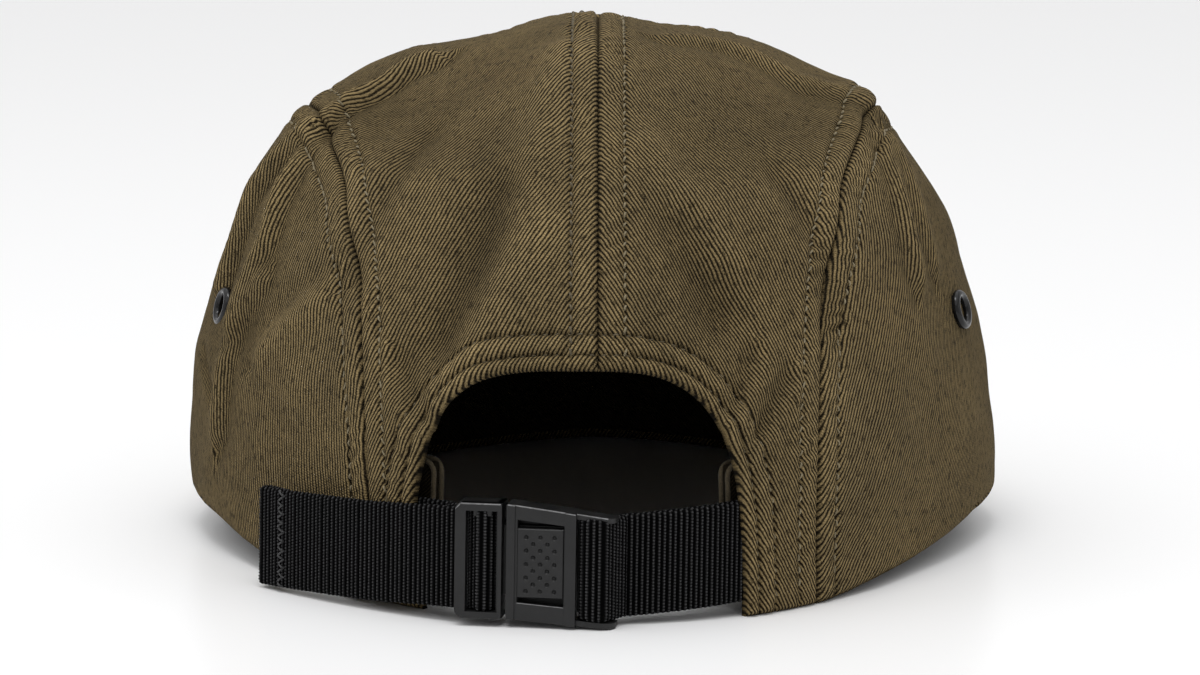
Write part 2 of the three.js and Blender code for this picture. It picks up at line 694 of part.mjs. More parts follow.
function adjusterStrap() {
  const edge = OPENING_CENTRE + OPENING_HALF_WIDTH;
  const start = openingAzimuth(edge) - hiddenTurn(edge);
  const entry = openingAzimuth(buckleOrigin.x + maleLeft + MALE_BAR);
  const behindWall = -WALL - GAP - STRAP_THICKNESS / 2;
  const turnDepth = (overDepth - backDepth) / 2;
  const tailStart = entry - 3;
  const crossing = STRAP_THICKNESS / 2 + 3 * GAP;
  const foldTurn = THREE.MathUtils.radToDeg(FOLD_LENGTH / rimPlan(TAIL_AZIMUTH).length());
  return webbing([
    ...rimStretch(start, entry, 5, () => behindWall),
    fromBuckle(maleLeft, backDepth),
    ...halfTurn(innerBarCentre, innerBarDepth, innerTurn, turnDepth, -1, -1),
    fromBuckle(innerBarCentre + MALE_INNER_BAR / 2, overDepth),
    fromBuckle(maleLeft - MALE_BAR - 2 * GAP, tailDepth),
    fromBuckle(maleLeft + GAP, tailDepth),
    ...rimStretch(tailStart, TAIL_AZIMUTH, 9, (share) => THREE.MathUtils.lerp(crossing, TAIL_STAND_OFF, share)),
    rimOutset(TAIL_AZIMUTH - foldTurn * 0.1, TAIL_STAND_OFF - layer / 2),
    ...rimStretch(TAIL_AZIMUTH, TAIL_AZIMUTH + foldTurn, 2, () => TAIL_STAND_OFF - layer),
  ]);
}

function anchorStrap() {
  const edge = OPENING_CENTRE - OPENING_HALF_WIDTH;
  const start = openingAzimuth(edge) + hiddenTurn(edge);
  const entry = openingAzimuth(buckleOrigin.x + railRight - PIN_SIZE);
  const outer = -WALL - GAP - STRAP_THICKNESS / 2;
  const inner = outer - layer;
  const ribbon = webbing([
    ...rimStretch(start, entry, 6, () => outer),
    fromBuckle(pinCentre - PIN_SIZE, pinDepth + pinTurn * 0.9),
    ...halfTurn(pinCentre, pinDepth, pinTurn, pinTurn, 1, 1),
    fromBuckle(pinCentre - PIN_SIZE, pinDepth - pinTurn),
    ...rimStretch(entry, start, 6, () => inner),
  ]);
  return lowered(ribbon, (x, y) => new THREE.Vector2(x, y).sub(buckleOrigin).dot(buckleAlong));
}

// Finishes
const cloth = { color: '#54483a', roughness: 0.92, metalness: 0 };
const clothDark = { color: '#4c4230', roughness: 0.92, metalness: 0 };
const blackWebbing = { color: '#131313', roughness: 0.85, metalness: 0 };
const blackPlastic = { color: '#2e2e2e', roughness: 0.5, metalness: 0 };
const blackEnamel = { color: '#0c0c0d', roughness: 0.15, metalness: 0.6 };

function piece(name, geometry, finish) {
  const mesh = new THREE.Mesh(geometry, new THREE.MeshStandardMaterial(finish));
  mesh.name = name;
  return mesh;
}

function buildCap() {
  const cap = new THREE.Group();
  for (const [name, solid] of Object.entries(crownPanels())) {
    cap.add(piece(name, geometryOf(solid), cloth));
  }
  const male = intoCap(geometryOf(buckleMale()));
  const female = intoCap(lowered(geometryOf(buckleFemale()), (u) => u));
  cap.add(
    piece('visor', visorGeometry(), cloth),
    piece('sweatband', sweatbandGeometry(), clothDark),
    piece('eyelet_left', eyeletGeometry(1), blackEnamel),
    piece('eyelet_right', eyeletGeometry(-1), blackEnamel),
    piece('adjuster_strap', adjusterStrap(), blackWebbing),
    piece('anchor_strap', anchorStrap(), blackWebbing),
    piece('buckle_male', male, blackPlastic),
    piece('buckle_female', female, blackPlastic),
  );
  return cap;
}

// The origin lies on the table under the middle of the whole cap
const cap = buildCap();
const bounds = new THREE.Box3().setFromObject(cap);
const middle = bounds.getCenter(new THREE.Vector3());
cap.position.set(-middle.x, -middle.y, -bounds.min.z);

export default cap;
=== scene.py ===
# A five-panel twill cap with vent eyelets and a buckled webbing strap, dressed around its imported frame.
# Shapes are worked out in millimetres: the visor points along -Y, the strap is at +Y and +Z is up.
import math

import bpy
import numpy as np
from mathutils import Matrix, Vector, noise
from mathutils.geometry import delaunay_2d_cdt
from mathutils.kdtree import KDTree


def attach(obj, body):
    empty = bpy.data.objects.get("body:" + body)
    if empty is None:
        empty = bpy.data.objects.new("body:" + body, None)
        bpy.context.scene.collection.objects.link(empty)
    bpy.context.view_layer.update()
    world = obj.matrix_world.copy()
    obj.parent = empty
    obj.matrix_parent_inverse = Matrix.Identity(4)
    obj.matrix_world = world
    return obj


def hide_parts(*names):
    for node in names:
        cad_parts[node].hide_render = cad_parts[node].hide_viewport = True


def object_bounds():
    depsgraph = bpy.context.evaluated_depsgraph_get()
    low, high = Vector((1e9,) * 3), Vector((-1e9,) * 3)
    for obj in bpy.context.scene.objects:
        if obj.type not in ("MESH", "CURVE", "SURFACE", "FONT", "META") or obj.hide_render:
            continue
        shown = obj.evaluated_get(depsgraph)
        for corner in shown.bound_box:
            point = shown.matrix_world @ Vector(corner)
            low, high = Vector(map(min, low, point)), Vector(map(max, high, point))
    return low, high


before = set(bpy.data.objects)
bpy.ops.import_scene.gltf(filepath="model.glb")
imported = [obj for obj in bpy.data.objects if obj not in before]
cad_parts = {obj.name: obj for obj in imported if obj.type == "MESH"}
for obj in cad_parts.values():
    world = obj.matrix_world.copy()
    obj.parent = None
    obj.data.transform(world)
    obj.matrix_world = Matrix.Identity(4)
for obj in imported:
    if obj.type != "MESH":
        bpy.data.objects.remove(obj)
cad_low, cad_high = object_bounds()

MM = 0.001

# Crown
HALF_WIDTH = 89.5
BACK_REACH = 105
FRONT_REACH = 86
CROWN_HEIGHT = 111.2
RIM_LIFT = 8.5
BACK_NARROWING = 0.42
FRONT_NARROWING = 0.08
BACK_FULLNESS = 2.2
SIDE_FULLNESS = 2.45
FRONT_FULLNESS = 2.4
WALL = 1.6
CENTRE_Y = -8
RIM_TABLE = {
    "azimuth": [-90, -62, -45, -20, 0, 20, 45, 58, 90],
    "lift": [0.4, 0.12, 0.3, 0.85, 1, 0.85, 0.3, 0, 0],
}

# Panel seams, seen from above
CENTRE_SEAM = -1
FRONT_SEAM = -27.3
SIDE_SEAM_TABLE = {
    "along": [-1.2, -0.62, -0.48, -0.29, -0.06, 0.08, 0.38, 0.6, 0.71, 1.2],
    "out": [0.76, 0.749, 0.737, 0.715, 0.682, 0.643, 0.581, 0.537, 0.52, 0.5],
}

# Back opening
OPENING_CENTRE = 3
OPENING_HALF_WIDTH = 34.6
OPENING_HEIGHT = 51.2
OPENING_SQUARENESS = 3.2

# Visor and sweatband
VISOR_HALF_WIDTH = 74
VISOR_REACH = 68
VISOR_HALF_ANGLE = 48
VISOR_THICKNESS = 3
VISOR_ARCH = 3.2
VISOR_FRONT_ARCH = 1.6
VISOR_SQUARENESS = 2.4
VISOR_ROWS = (4, 12, 20, 28, 36, 44)
VISOR_STITCH_PITCH = 2.6
BAND_HEIGHT = 28
BAND_THICKNESS = 1.6
BAND_ABOVE_RIM = 2
BAND_CLEARANCE = 0.5
BAND_END_INSET = 5.4
BAND_EASE = 0.3
BAND_LEAN = 0.06
BINDING_RADIUS = 0.55
BINDING_CORNER = 2.5

# Eyelets
EYELET_AZIMUTHS = {"left": 15, "right": 180 - 18}
EYELET_RISE = 20.6
EYELET_RADIUS = 4.4
EYELET_HOLE_RADIUS = 2.4
EYELET_SEAT = 0.1
EYELET_RIM_HEIGHT = 1.0
EYELET_BACK_RADIUS = 3.2
EYELET_SIDES = 64

# Webbing
STRAP_WIDTH = 20.4
STRAP_THICKNESS = 1.5
STRAP_BOTTOM = 3.1
STRAP_LEAN = 5
STRAP_HIDDEN_LENGTH = 13
TAIL_AZIMUTH = 45.3
TAIL_STAND_OFF = 7.6
TAIL_DROOP = 2.4
FOLD_LENGTH = 5
STRAP_GAP = 0.3
TAIL_CROSSING = STRAP_THICKNESS / 2 + 3 * STRAP_GAP
TAIL_CLEARANCE = math.radians(3)
TAIL_STITCHES = 21
RIB_PITCH = 1.13
RIB_SAMPLES = 5
GRAIN_PITCH = 0.65

# Buckle, in its own frame: u runs to the wearer's left, n out of its face and w up
BUCKLE_AZIMUTH = 82.5
BUCKLE_PROUD = 2.4
BUCKLE_DEPTH = 6
FACE_THICKNESS = 2.2
TONGUE_THICKNESS = 2
MALE_BAR = 2.2
MALE_END_BAR = 1.2
INNER_BAR = 1.3
FEMALE_WALL = 2.3
PIN_SIZE = 2.2
MALE_LEFT = 16.3
MALE_RIGHT = 6.7
FEMALE_LEFT = 5.7
WINDOW_LEFT = 3.5
WINDOW_RIGHT = -6.1
BAR_RIGHT = -8.5
RAIL_RIGHT = -16.3
BUCKLE_BOTTOM = 1.7
BUCKLE_TOP = 24.9
RAIL_THICKNESS = 1.1
RAIL_DEPTH = 4.6
RAIL_NOSE = 2.6
RAIL_FRONT = -(BUCKLE_DEPTH - RAIL_DEPTH) / 2
PAD_HEIGHT = 14
PAD_BACK = -4.3
PAD_STEP = 0.16
DIMPLE_ROWS = 9
FEMALE_DROP = 0.068
TOP_SLOPE = 0.05
BUCKLE_MIDDLE = (BUCKLE_BOTTOM + BUCKLE_TOP) / 2

# Seams, hems and stitches
TOPSTITCH = 5.5
HEM_ROWS = (3.0, 7.3)
THREAD_PITCH = 0.55
STITCH_PITCH = 2.4
STITCH_LENGTH = 1.65
STITCH_RADIUS = 0.25
THREAD_SIDES = 6
THREAD_RINGS = 7

# Meshes of the panels: steps beside the seams and away from them, and rows close beside the outline
FACE_STEPS = (0.75, 1.35)
FACE_RINGS = (0.3, 0.65, 1.1, 1.65)
LINING_RINGS = (2.5,)
LINING_STEP = 5
SEAM_BAND = 8.8
VALLEY_OFFSETS = (-0.55, -0.28, 0, 0.28, 0.55)
VALLEY_CLEARANCE = 1.9
DISC = 100
FAR = 1e9

# Relief of the sewn cloth: depths and heights beside a seam, a hem and the rim
SEAM_GROOVE = 1.0
SEAM_STRIP = 0.42
SEAM_VALLEY = 0.62
SEAM_SHOULDER = 0.22
SEAM_PUCKER = 0.26
HEM_ROLL = 0.9
HEM_VALLEY = 0.85
HEM_BULGE = 0.6
HEM_BAND = 0.55
HEM_PUCKER = 0.2
RIM_ROLL = 1.1
RIM_SWELL = 0.18
SEAM_REACH = 14
LOW_SIDE_SHIFT = 1.3
HEM_TUCK = 3.2

# Slight unevenness of the cloth, as the rise, size and seed of each kind
CLOTH_SWELLS = ((1.1, 36, 3), (0.5, 14, 17), (0.12, 4.5, 41))

# The cap's own origin stands this far along +Y of the middle of the head
CAP_SHIFT = cad_low.y / MM - (CENTRE_Y - FRONT_REACH - VISOR_REACH)

# Folds of the cloth: points across and up as shares of the half width and the height, rise and width in mm
MAIN_FOLDS = [
    {"run": [(-0.01, 1.02), (-0.01, 0.99), (-0.01, 0.96)], "rise": 2.08, "width": 10.7},
    {"run": [(0.46, 0.93), (0.64, 0.86), (0.79, 0.7)], "rise": 1.76, "width": 6.7},
    {"run": [(0.24, 0.97), (0.36, 0.93), (0.46, 0.86)], "rise": -1.28, "width": 6.3},
    {"run": [(0.7, 0.79), (0.8, 0.63), (0.84, 0.5)], "rise": 1.12, "width": 4.9},
    {"run": [(-0.25, 0.95), (-0.46, 0.91), (-0.64, 0.86)], "rise": 1.28, "width": 6.3},
    {"run": [(-0.64, 0.86), (-0.72, 0.7), (-0.77, 0.56)], "rise": 1.44, "width": 5.4},
    {"run": [(0.22, 0.76), (0.32, 0.62), (0.4, 0.48)], "rise": -1.6, "width": 7.2},
    {"run": [(-0.2, 0.72), (-0.26, 0.62), (-0.3, 0.52)], "rise": -1.44, "width": 7.2},
    {"run": [(0.1, 0.92), (0.19, 0.72), (0.3, 0.5)], "rise": 0.96, "width": 5.4},
]

# Softer folds: places across and up in mm, rise, width, and the side that dips beside the ridge, or 0
SOFT_STRENGTH = 2.0
DIP_SHARE = 0.6
SOFT_FOLDS = [
    {"run": [(36, 105), (46, 99), (56, 92), (64, 85), (72, 76), (78, 66), (82, 56)],
     "rise": 1.1, "width": 2.6, "dip": 1},
    {"run": [(61, 86), (70, 68), (78, 50)], "rise": 0.8, "width": 2.7, "dip": 1},
    {"run": [(72, 59), (78, 47), (80, 40), (81, 27)], "rise": 0.75, "width": 2.9, "dip": 1},
    {"run": [(85, 40), (83, 33)], "rise": -0.5, "width": 1.8, "dip": 0},
    {"run": [(58, 58), (70, 46)], "rise": 0.6, "width": 4.0, "dip": -1},
    {"run": [(-18, 109), (-29, 107), (-43, 100), (-51, 97), (-59, 93)],
     "rise": 0.6, "width": 2.8, "dip": -1},
    {"run": [(-62, 87), (-65, 80), (-67, 70), (-69, 61)], "rise": 0.65, "width": 2.6, "dip": -1},
    {"run": [(-65, 85), (-71, 72), (-74, 63)], "rise": 0.55, "width": 2.8, "dip": -1},
    {"run": [(19, 84), (25, 70), (31, 57)], "rise": -1.1, "width": 6.5, "dip": 0},
    {"run": [(-20, 77), (-23, 70), (-26, 63)], "rise": -1.0, "width": 6.0, "dip": 0},
    {"run": [(7, 107), (11, 95), (15, 83)], "rise": 0.7, "width": 5.0, "dip": 0},
    {"run": [(11, 77), (20, 60), (29, 44)], "rise": 0.8, "width": 5.0, "dip": 0},
    {"run": [(-12, 92), (-19, 83), (-26, 73)], "rise": 0.7, "width": 5.0, "dip": 0},
    {"run": [(-33, 52), (-29, 44)], "rise": -0.55, "width": 2.4, "dip": 1},
    {"run": [(-40, 47), (-35, 39)], "rise": -0.5, "width": 2.2, "dip": 1},
    {"run": [(40, 50), (35, 41)], "rise": -0.5, "width": 2.6, "dip": -1},
    {"run": [(36, 92), (46, 78), (50, 64)], "rise": -0.7, "width": 4.5, "dip": 0},
    {"run": [(-40, 84), (-48, 70), (-50, 56)], "rise": -0.7, "width": 4.5, "dip": 0},
]


def smoothstep(value, low, high):
    share = np.clip((value - low) / (high - low), 0, 1)
    return share * share * (3 - 2 * share)


def table_at(places, values, at):
    """A value between the rows of a table, half straight and half eased."""
    places = np.asarray(places, float)
    values = np.asarray(values, float)
    at = np.clip(at, places[0], places[-1])
    low = np.clip(np.searchsorted(places, at, side="right") - 1, 0, len(places) - 2)
    even = (at - places[low]) / (places[low + 1] - places[low])
    share = (even + even * even * (3 - 2 * even)) / 2
    return values[low] + (values[low + 1] - values[low]) * share


def hump(away, width, middle=0):
    """1 at the middle, easing down to nearly 0 about two widths from it."""
    return np.exp(-(((away - middle) / width) ** 2))


def plump(share, power):
    """0 at both ends of a strip and 1 half way; the lower the power, the fuller."""
    return np.sin(np.pi * np.clip(share, 0, 1)) ** power


# The smooth crown, by azimuth round the rim and rise up from it, both in radians
def rim_lift(azimuth):
    """How high the rim stands over the table."""
    folded = np.degrees(np.arcsin(np.clip(np.sin(azimuth), -1, 1)))
    return RIM_LIFT * table_at(RIM_TABLE["azimuth"], RIM_TABLE["lift"], folded)


def rim_plan(azimuth):
    """The rim seen from above: a round that narrows towards its back."""
    side, along = np.cos(azimuth), np.sin(azimuth)
    narrowing = np.where(along > 0, BACK_NARROWING, FRONT_NARROWING)
    reach = np.where(along > 0, BACK_REACH, FRONT_REACH) * along * (1 - narrowing * np.abs(side) ** 3)
    return np.stack([HALF_WIDTH * side, CENTRE_Y + reach], -1)


def rim_outset(azimuth, outset):
    """Places seen from above that stand square off the rim."""
    step = math.radians(0.5)
    along = rim_plan(azimuth + step) - rim_plan(azimuth - step)
    along /= np.linalg.norm(along, axis=-1, keepdims=True)
    return rim_plan(azimuth) + np.stack([along[..., 1], -along[..., 0]], -1) * np.asarray(outset)[..., None]


def fullness(azimuth):
    """How square the crown's profile is; 2 would be an ellipse."""
    along = np.sin(azimuth)
    end = np.where(along > 0, BACK_FULLNESS, FRONT_FULLNESS)
    return SIDE_FULLNESS + (end - SIDE_FULLNESS) * along * along


def smooth_crown(azimuth, rise):
    """The crown's outer face without its seams and folds."""
    power = 2 / fullness(azimuth)
    inward = np.maximum(np.cos(rise), 0) ** power
    upward = np.maximum(np.sin(rise), 0) ** power
    rim = rim_plan(azimuth)
    lift = rim_lift(azimuth)
    return np.stack([
        rim[..., 0] * inward,
        CENTRE_Y + (rim[..., 1] - CENTRE_Y) * inward,
        lift + (CROWN_HEIGHT - lift) * upward,
    ], -1)


# The crown is drawn on a flat disc: its edge is the rim and its middle is the top
def disc_point(azimuth, rise):
    radius = DISC * (1 - rise / (math.pi / 2))
    return np.stack([radius * np.cos(azimuth), radius * np.sin(azimuth)], -1)


def disc_turns(disc):
    radius = np.minimum(np.hypot(disc[..., 0], disc[..., 1]) / DISC, 1)
    return np.arctan2(disc[..., 1], disc[..., 0]), (1 - radius) * math.pi / 2


def crown_at(disc):
    return smooth_crown(*disc_turns(disc))


def crown_slopes(disc, step=0.8):
    """How the crown runs along the disc's two directions."""
    across = crown_at(disc + (step, 0)) - crown_at(disc - (step, 0))
    upward = crown_at(disc + (0, step)) - crown_at(disc - (0, step))
    return across / (2 * step), upward / (2 * step)


def crown_normals(disc):
    across, upward = crown_slopes(disc)
    normals = np.cross(across, upward)
    return normals / np.linalg.norm(normals, axis=-1, keepdims=True)


RIM_TURNS = np.linspace(-math.pi, math.pi, 7201)
RIM_POINTS = rim_plan(RIM_TURNS)
RIM_DIRECTIONS = np.unwrap(np.arctan2(RIM_POINTS[:, 1] - CENTRE_Y, RIM_POINTS[:, 0]))


def plan_share(x, y):
    """How far out a place seen from above lies, 1 at the rim, with its azimuth."""
    direction = np.arctan2(y - CENTRE_Y, x)
    azimuth = np.interp(direction, RIM_DIRECTIONS, RIM_TURNS)
    rim = rim_plan(azimuth)
    return np.hypot(x, y - CENTRE_Y) / np.hypot(rim[..., 0], rim[..., 1] - CENTRE_Y), azimuth


def disc_from_plan(x, y):
    share, azimuth = plan_share(np.asarray(x, float), np.asarray(y, float))
    rise = np.arccos(np.minimum(share, 1) ** (fullness(azimuth) / 2))
    return disc_point(azimuth, rise)


def disc_from_back(x, z):
    """The place on the back half of the crown at a distance across and a height."""
    x, z = np.asarray(x, float), np.asarray(z, float)
    azimuth = np.full(x.shape, math.pi / 2)
    rise = np.zeros(x.shape)
    for _ in range(40):
        power = 2 / fullness(azimuth)
        lift = rim_lift(azimuth)
        upward = np.clip((z - lift) / (CROWN_HEIGHT - lift), 0, 1)
        rise = np.arcsin(upward ** (1 / power))
        inward = np.maximum(np.cos(rise) ** power, 1e-6)
        azimuth = np.arccos(np.clip(x / (HALF_WIDTH * inward), -1, 1))
    return disc_point(azimuth, rise)


def point_tree(points):
    tree = KDTree(len(points))
    for i, point in enumerate(points):
        tree.insert(point, i)
    tree.balance()
    return tree


class Line:
    """A line drawn on the crown, with evenly spaced points."""

    def __init__(self, disc, step=0.6):
        points = crown_at(disc)
        run = np.concatenate([[0], np.cumsum(np.linalg.norm(np.diff(points, axis=0), axis=1))])
        self.length = run[-1]
        self.run = np.linspace(0, self.length, max(2, round(self.length / step) + 1))
        self.disc = np.stack([np.interp(self.run, run, disc[:, k]) for k in (0, 1)], -1)
        self.points = crown_at(self.disc)
        self.along = np.gradient(self.points, axis=0)
        self.along /= np.linalg.norm(self.along, axis=1, keepdims=True)
        self.normals = crown_normals(self.disc)
        self.inwards = np.cross(self.normals, self.along)
        self.tree = point_tree(self.points)

    def away(self, points):
        """Distance from the line, place along it and side of it for each point."""
        nearest = np.array([self.tree.find(p)[1] for p in points], int).reshape(-1)
        offset = points - self.points[nearest]
        forward = np.einsum("ij,ij->i", offset, self.along[nearest])
        inner = (nearest > 0) & (nearest < len(self.run) - 1)
        step = self.run[1]
        trimmed = np.where(inner, forward, np.clip(forward, -step, step) * 0.5)
        rest = offset - self.along[nearest] * trimmed[:, None]
        side = np.sign(np.einsum("ij,ij->i", rest, self.inwards[nearest]))
        return np.linalg.norm(rest, axis=1), self.run[nearest] + trimmed, side

    def beside(self, distance, side=1, steps=6):
        """Places on the disc at a distance to one side of the line."""
        disc = self.disc.copy()
        for _ in range(steps):
            across, upward = crown_slopes(disc)
            wanted = self.inwards * side * distance / steps
            aa = np.einsum("ij,ij->i", across, across)
            au = np.einsum("ij,ij->i", across, upward)
            uu = np.einsum("ij,ij->i", upward, upward)
            wa = np.einsum("ij,ij->i", wanted, across)
            wu = np.einsum("ij,ij->i", wanted, upward)
            whole = np.maximum(aa * uu - au * au, 1e-9)
            disc += np.stack([(wa * uu - wu * au) / whole, (wu * aa - wa * au) / whole], -1)
        return disc


def side_seam_x(y):
    along = np.asarray(y) / BACK_REACH
    return HALF_WIDTH * table_at(SIDE_SEAM_TABLE["along"], SIDE_SEAM_TABLE["out"], along)


def rim_crossing(side, towards):
    """Where a side seam meets the rim, front or back."""
    ys = np.linspace(FRONT_SEAM, towards, 4000)
    share, _ = plan_share(side * side_seam_x(ys), ys)
    return np.interp(1, share, ys)


def side_seam_line(side, towards):
    """A side seam from its end at the rim to its corner with the front seam."""
    end = rim_crossing(side, towards)
    ease = np.linspace(0, 1, 3000)
    ys = end + (FRONT_SEAM - end) * (1 - ease) ** 3
    disc = disc_from_plan(side * side_seam_x(ys), ys)
    return Line(disc)


def opening_line(side):
    """The opening's edge, from the centre seam down to the rim."""
    power = 2 / OPENING_SQUARENESS
    offset = (CENTRE_SEAM - OPENING_CENTRE) / OPENING_HALF_WIDTH
    start = math.acos(-(abs(offset) ** (1 / power)))
    end = 0 if side > 0 else math.pi
    turn = end + (start - end) * (1 - np.linspace(0, 1, 3000)) ** 3
    cosine = np.cos(turn)
    x = OPENING_CENTRE + OPENING_HALF_WIDTH * np.sign(cosine) * np.abs(cosine) ** power
    z = OPENING_HEIGHT * np.maximum(np.sin(turn), 0) ** power
    return Line(disc_from_back(x, z))


def rim_line(start, end):
    azimuth = np.linspace(start, end, 3000)
    return Line(disc_point(azimuth, np.zeros_like(azimuth)))


def end_azimuth(line):
    return math.atan2(line.disc[-1, 1], line.disc[-1, 0])


def draw_lines():
    """Every seam and edge of the crown, by name."""
    lines = {}
    for name, side in (("left", 1), ("right", -1)):
        lines["opening_" + name] = opening_line(side)
        lines["side_back_" + name] = side_seam_line(side, BACK_REACH)
        lines["side_front_" + name] = side_seam_line(side, -BACK_REACH)
        xs = np.linspace(CENTRE_SEAM, side * side_seam_x(FRONT_SEAM), 2000)
        lines["front_" + name] = Line(disc_from_plan(xs, np.full_like(xs, FRONT_SEAM)))
    top = lines["opening_left"].points[0]
    ys = np.linspace(top[1], FRONT_SEAM, 3000)
    lines["centre"] = Line(disc_from_plan(np.full_like(ys, CENTRE_SEAM), ys))
    corner_left, corner_right = end_azimuth(lines["opening_left"]), end_azimuth(lines["opening_right"])
    back_left, back_right = end_azimuth(lines["side_back_left"]), end_azimuth(lines["side_back_right"])
    front_left, front_right = end_azimuth(lines["side_front_left"]), end_azimuth(lines["side_front_right"])
    lines["rim_back_left"] = rim_line(back_left, corner_left)
    lines["rim_side_left"] = rim_line(front_left, back_left)
    lines["rim_front"] = rim_line(front_right, front_left)
    lines["rim_side_right"] = rim_line(back_right, front_right + 2 * math.pi)
    lines["rim_back_right"] = rim_line(corner_right, back_right)
    return lines


LINES = draw_lines()
SOFT_LINES = [
    Line(disc_from_back(*np.array(fold["run"], float).T), 1.5) for fold in SOFT_FOLDS
]
SEAMS = ["centre", "side_back_left", "side_back_right", "side_front_left", "side_front_right",
         "front_left", "front_right"]
HEMS = ["opening_left", "opening_right"]
RIMS = ["rim_back_left", "rim_back_right", "rim_side_left", "rim_side_right", "rim_front"]

# Each panel's outline, anticlockwise from above; a minus sign runs a line backwards
PANELS = {
    "back_panel_left": ["opening_left", "-rim_back_left", "-side_back_left", "-front_left", "-centre"],
    "back_panel_right": ["centre", "front_right", "side_back_right", "-rim_back_right", "-opening_right"],
    "side_panel_left": ["side_back_left", "-rim_side_left", "-side_front_left"],
    "side_panel_right": ["side_front_right", "-rim_side_right", "-side_back_right"],
    "front_panel": ["side_front_left", "-rim_front", "-side_front_right", "-front_right", "front_left"],
}


def in_panel(name, points):
    """Which points of the crown lie within a panel's seams."""
    x, y = points[:, 0], points[:, 1]
    seam = side_seam_x(y)
    if name == "side_panel_left":
        return x > seam
    if name == "side_panel_right":
        return x < -seam
    inside = np.abs(x) < seam
    if name == "front_panel":
        return inside & (y < FRONT_SEAM)
    across = np.abs((x - OPENING_CENTRE) / OPENING_HALF_WIDTH) ** OPENING_SQUARENESS
    upward = (points[:, 2] / OPENING_HEIGHT) ** OPENING_SQUARENESS
    inside &= (y > FRONT_SEAM) & ((across + upward > 1) | (y < 0))
    return inside & (x > CENTRE_SEAM) if name == "back_panel_left" else inside & (x < CENTRE_SEAM)


# Relief of the cloth over the smooth crown
def fold_rise(points):
    """The cloth's main folds, which fade out low down and towards the front."""
    across, height = points[:, 0], points[:, 2]
    place = np.stack([across, height * HALF_WIDTH / CROWN_HEIGHT], -1)
    rise = np.zeros(len(points))
    for fold in MAIN_FOLDS:
        run = HALF_WIDTH * np.array(fold["run"])
        nearest = np.full(len(points), FAR)
        for start, end in zip(run, run[1:]):
            span = end - start
            share = np.clip((place - start) @ span / (span @ span), 0, 1)
            nearest = np.minimum(nearest, np.linalg.norm(place - start - share[:, None] * span, axis=1))
        rise += fold["rise"] * hump(nearest, fold["width"])
    fade = smoothstep(height / CROWN_HEIGHT, 0.32, 0.42)
    fade = fade * smoothstep(points[:, 1], CENTRE_Y - HALF_WIDTH * 0.7, CENTRE_Y)
    return rise * fade


def soft_fold_rise(points):
    """The softer folds, each a ridge with a dip on one side."""
    rise = np.zeros(len(points))
    for fold, line in zip(SOFT_FOLDS, SOFT_LINES):
        away, _, side = line.away(points)
        width = fold["width"]
        rise += fold["rise"] * hump(away, width)
        if fold["dip"]:
            dip = hump(away, width, 1.7 * width) * (side == fold["dip"])
            rise -= DIP_SHARE * fold["rise"] * dip
    return rise * SOFT_STRENGTH


def low_sides(points):
    """The crown stands a little proud low on the wearer's left and is drawn in on the right."""
    height = points[:, 2]
    out = smoothstep(np.abs(points[:, 0]) / HALF_WIDTH, 0.7, 0.95)
    left = smoothstep(height, 2, 18) * (1 - smoothstep(height, 38, 60))
    right = smoothstep(height, 10, 32) * (1 - smoothstep(height, 58, 76))
    return LOW_SIDE_SHIFT * out * np.where(points[:, 0] > 0, left, -right)


def tucked_hem(points):
    """The hem behind the strap's tail turns in a little."""
    across, along, height = points.T
    behind_tail = smoothstep(across, 30, 36) * (1 - smoothstep(across, 60, 72)) * (along > 0)
    return -HEM_TUCK * behind_tail * (1 - smoothstep(height, 0, 9)) ** 1.5


def cloth_noise(points, size, seed):
    """Smooth, seeded unevenness of a given size in mm."""
    offset = Vector((seed, seed * 0.37, -seed * 0.61))
    return np.array([noise.noise(Vector(p) / size + offset) for p in points])


def seam_relief(away, run, side):
    """Groove, puffed strip, topstitch valley and small puckers beside a seam."""
    groove = -SEAM_GROOVE * np.clip(1 - away / 0.9, 0, 1) ** 1.5
    strip = SEAM_STRIP * plump(away / TOPSTITCH, 0.8)
    needle = 0.65 + 0.35 * np.cos(2 * np.pi * run / STITCH_PITCH)
    valley = -SEAM_VALLEY * hump(away, 0.5, TOPSTITCH) * needle
    shoulder = SEAM_SHOULDER * hump(away, 1.2, TOPSTITCH + 1.7)
    lean = run + away * 0.7 * side
    wander = np.sin(run * 0.31 + side) + np.sin(run * 0.117 + 2.1 * side)
    pucker = np.sin(2 * np.pi * lean / (STITCH_PITCH * 1.6) + wander) * (0.6 + 0.35 * wander)
    window = hump(away, 3, TOPSTITCH * 0.68)
    return groove + strip + valley + shoulder + SEAM_PUCKER * pucker * window


def hem_relief(away, run):
    """Rolled edge, double row of valleys and the raised band between them."""
    low, high = HEM_ROWS
    roll = -HEM_ROLL * np.clip(1 - away / 1.1, 0, 1) ** 2
    needle = 0.8 + 0.2 * np.cos(2 * np.pi * run / STITCH_PITCH)
    valley = -HEM_VALLEY * (hump(away, 0.42, low) + hump(away, 0.42, high)) * needle
    bulge = HEM_BULGE * plump(away / low, 0.7)
    band = HEM_BAND * plump((away - low) / (high - low), 0.7)
    pucker = np.sin(2 * np.pi * (run + away * 0.6) / (STITCH_PITCH * 1.7) + np.sin(run * 0.23) * 2)
    window = hump(away, 3, high - 1)
    return roll + valley + bulge + band + HEM_PUCKER * pucker * window


def rim_relief(away):
    return -RIM_ROLL * np.clip(1 - away / 1.3, 0, 1) ** 2 + RIM_SWELL * hump(away, 2.2, 3)


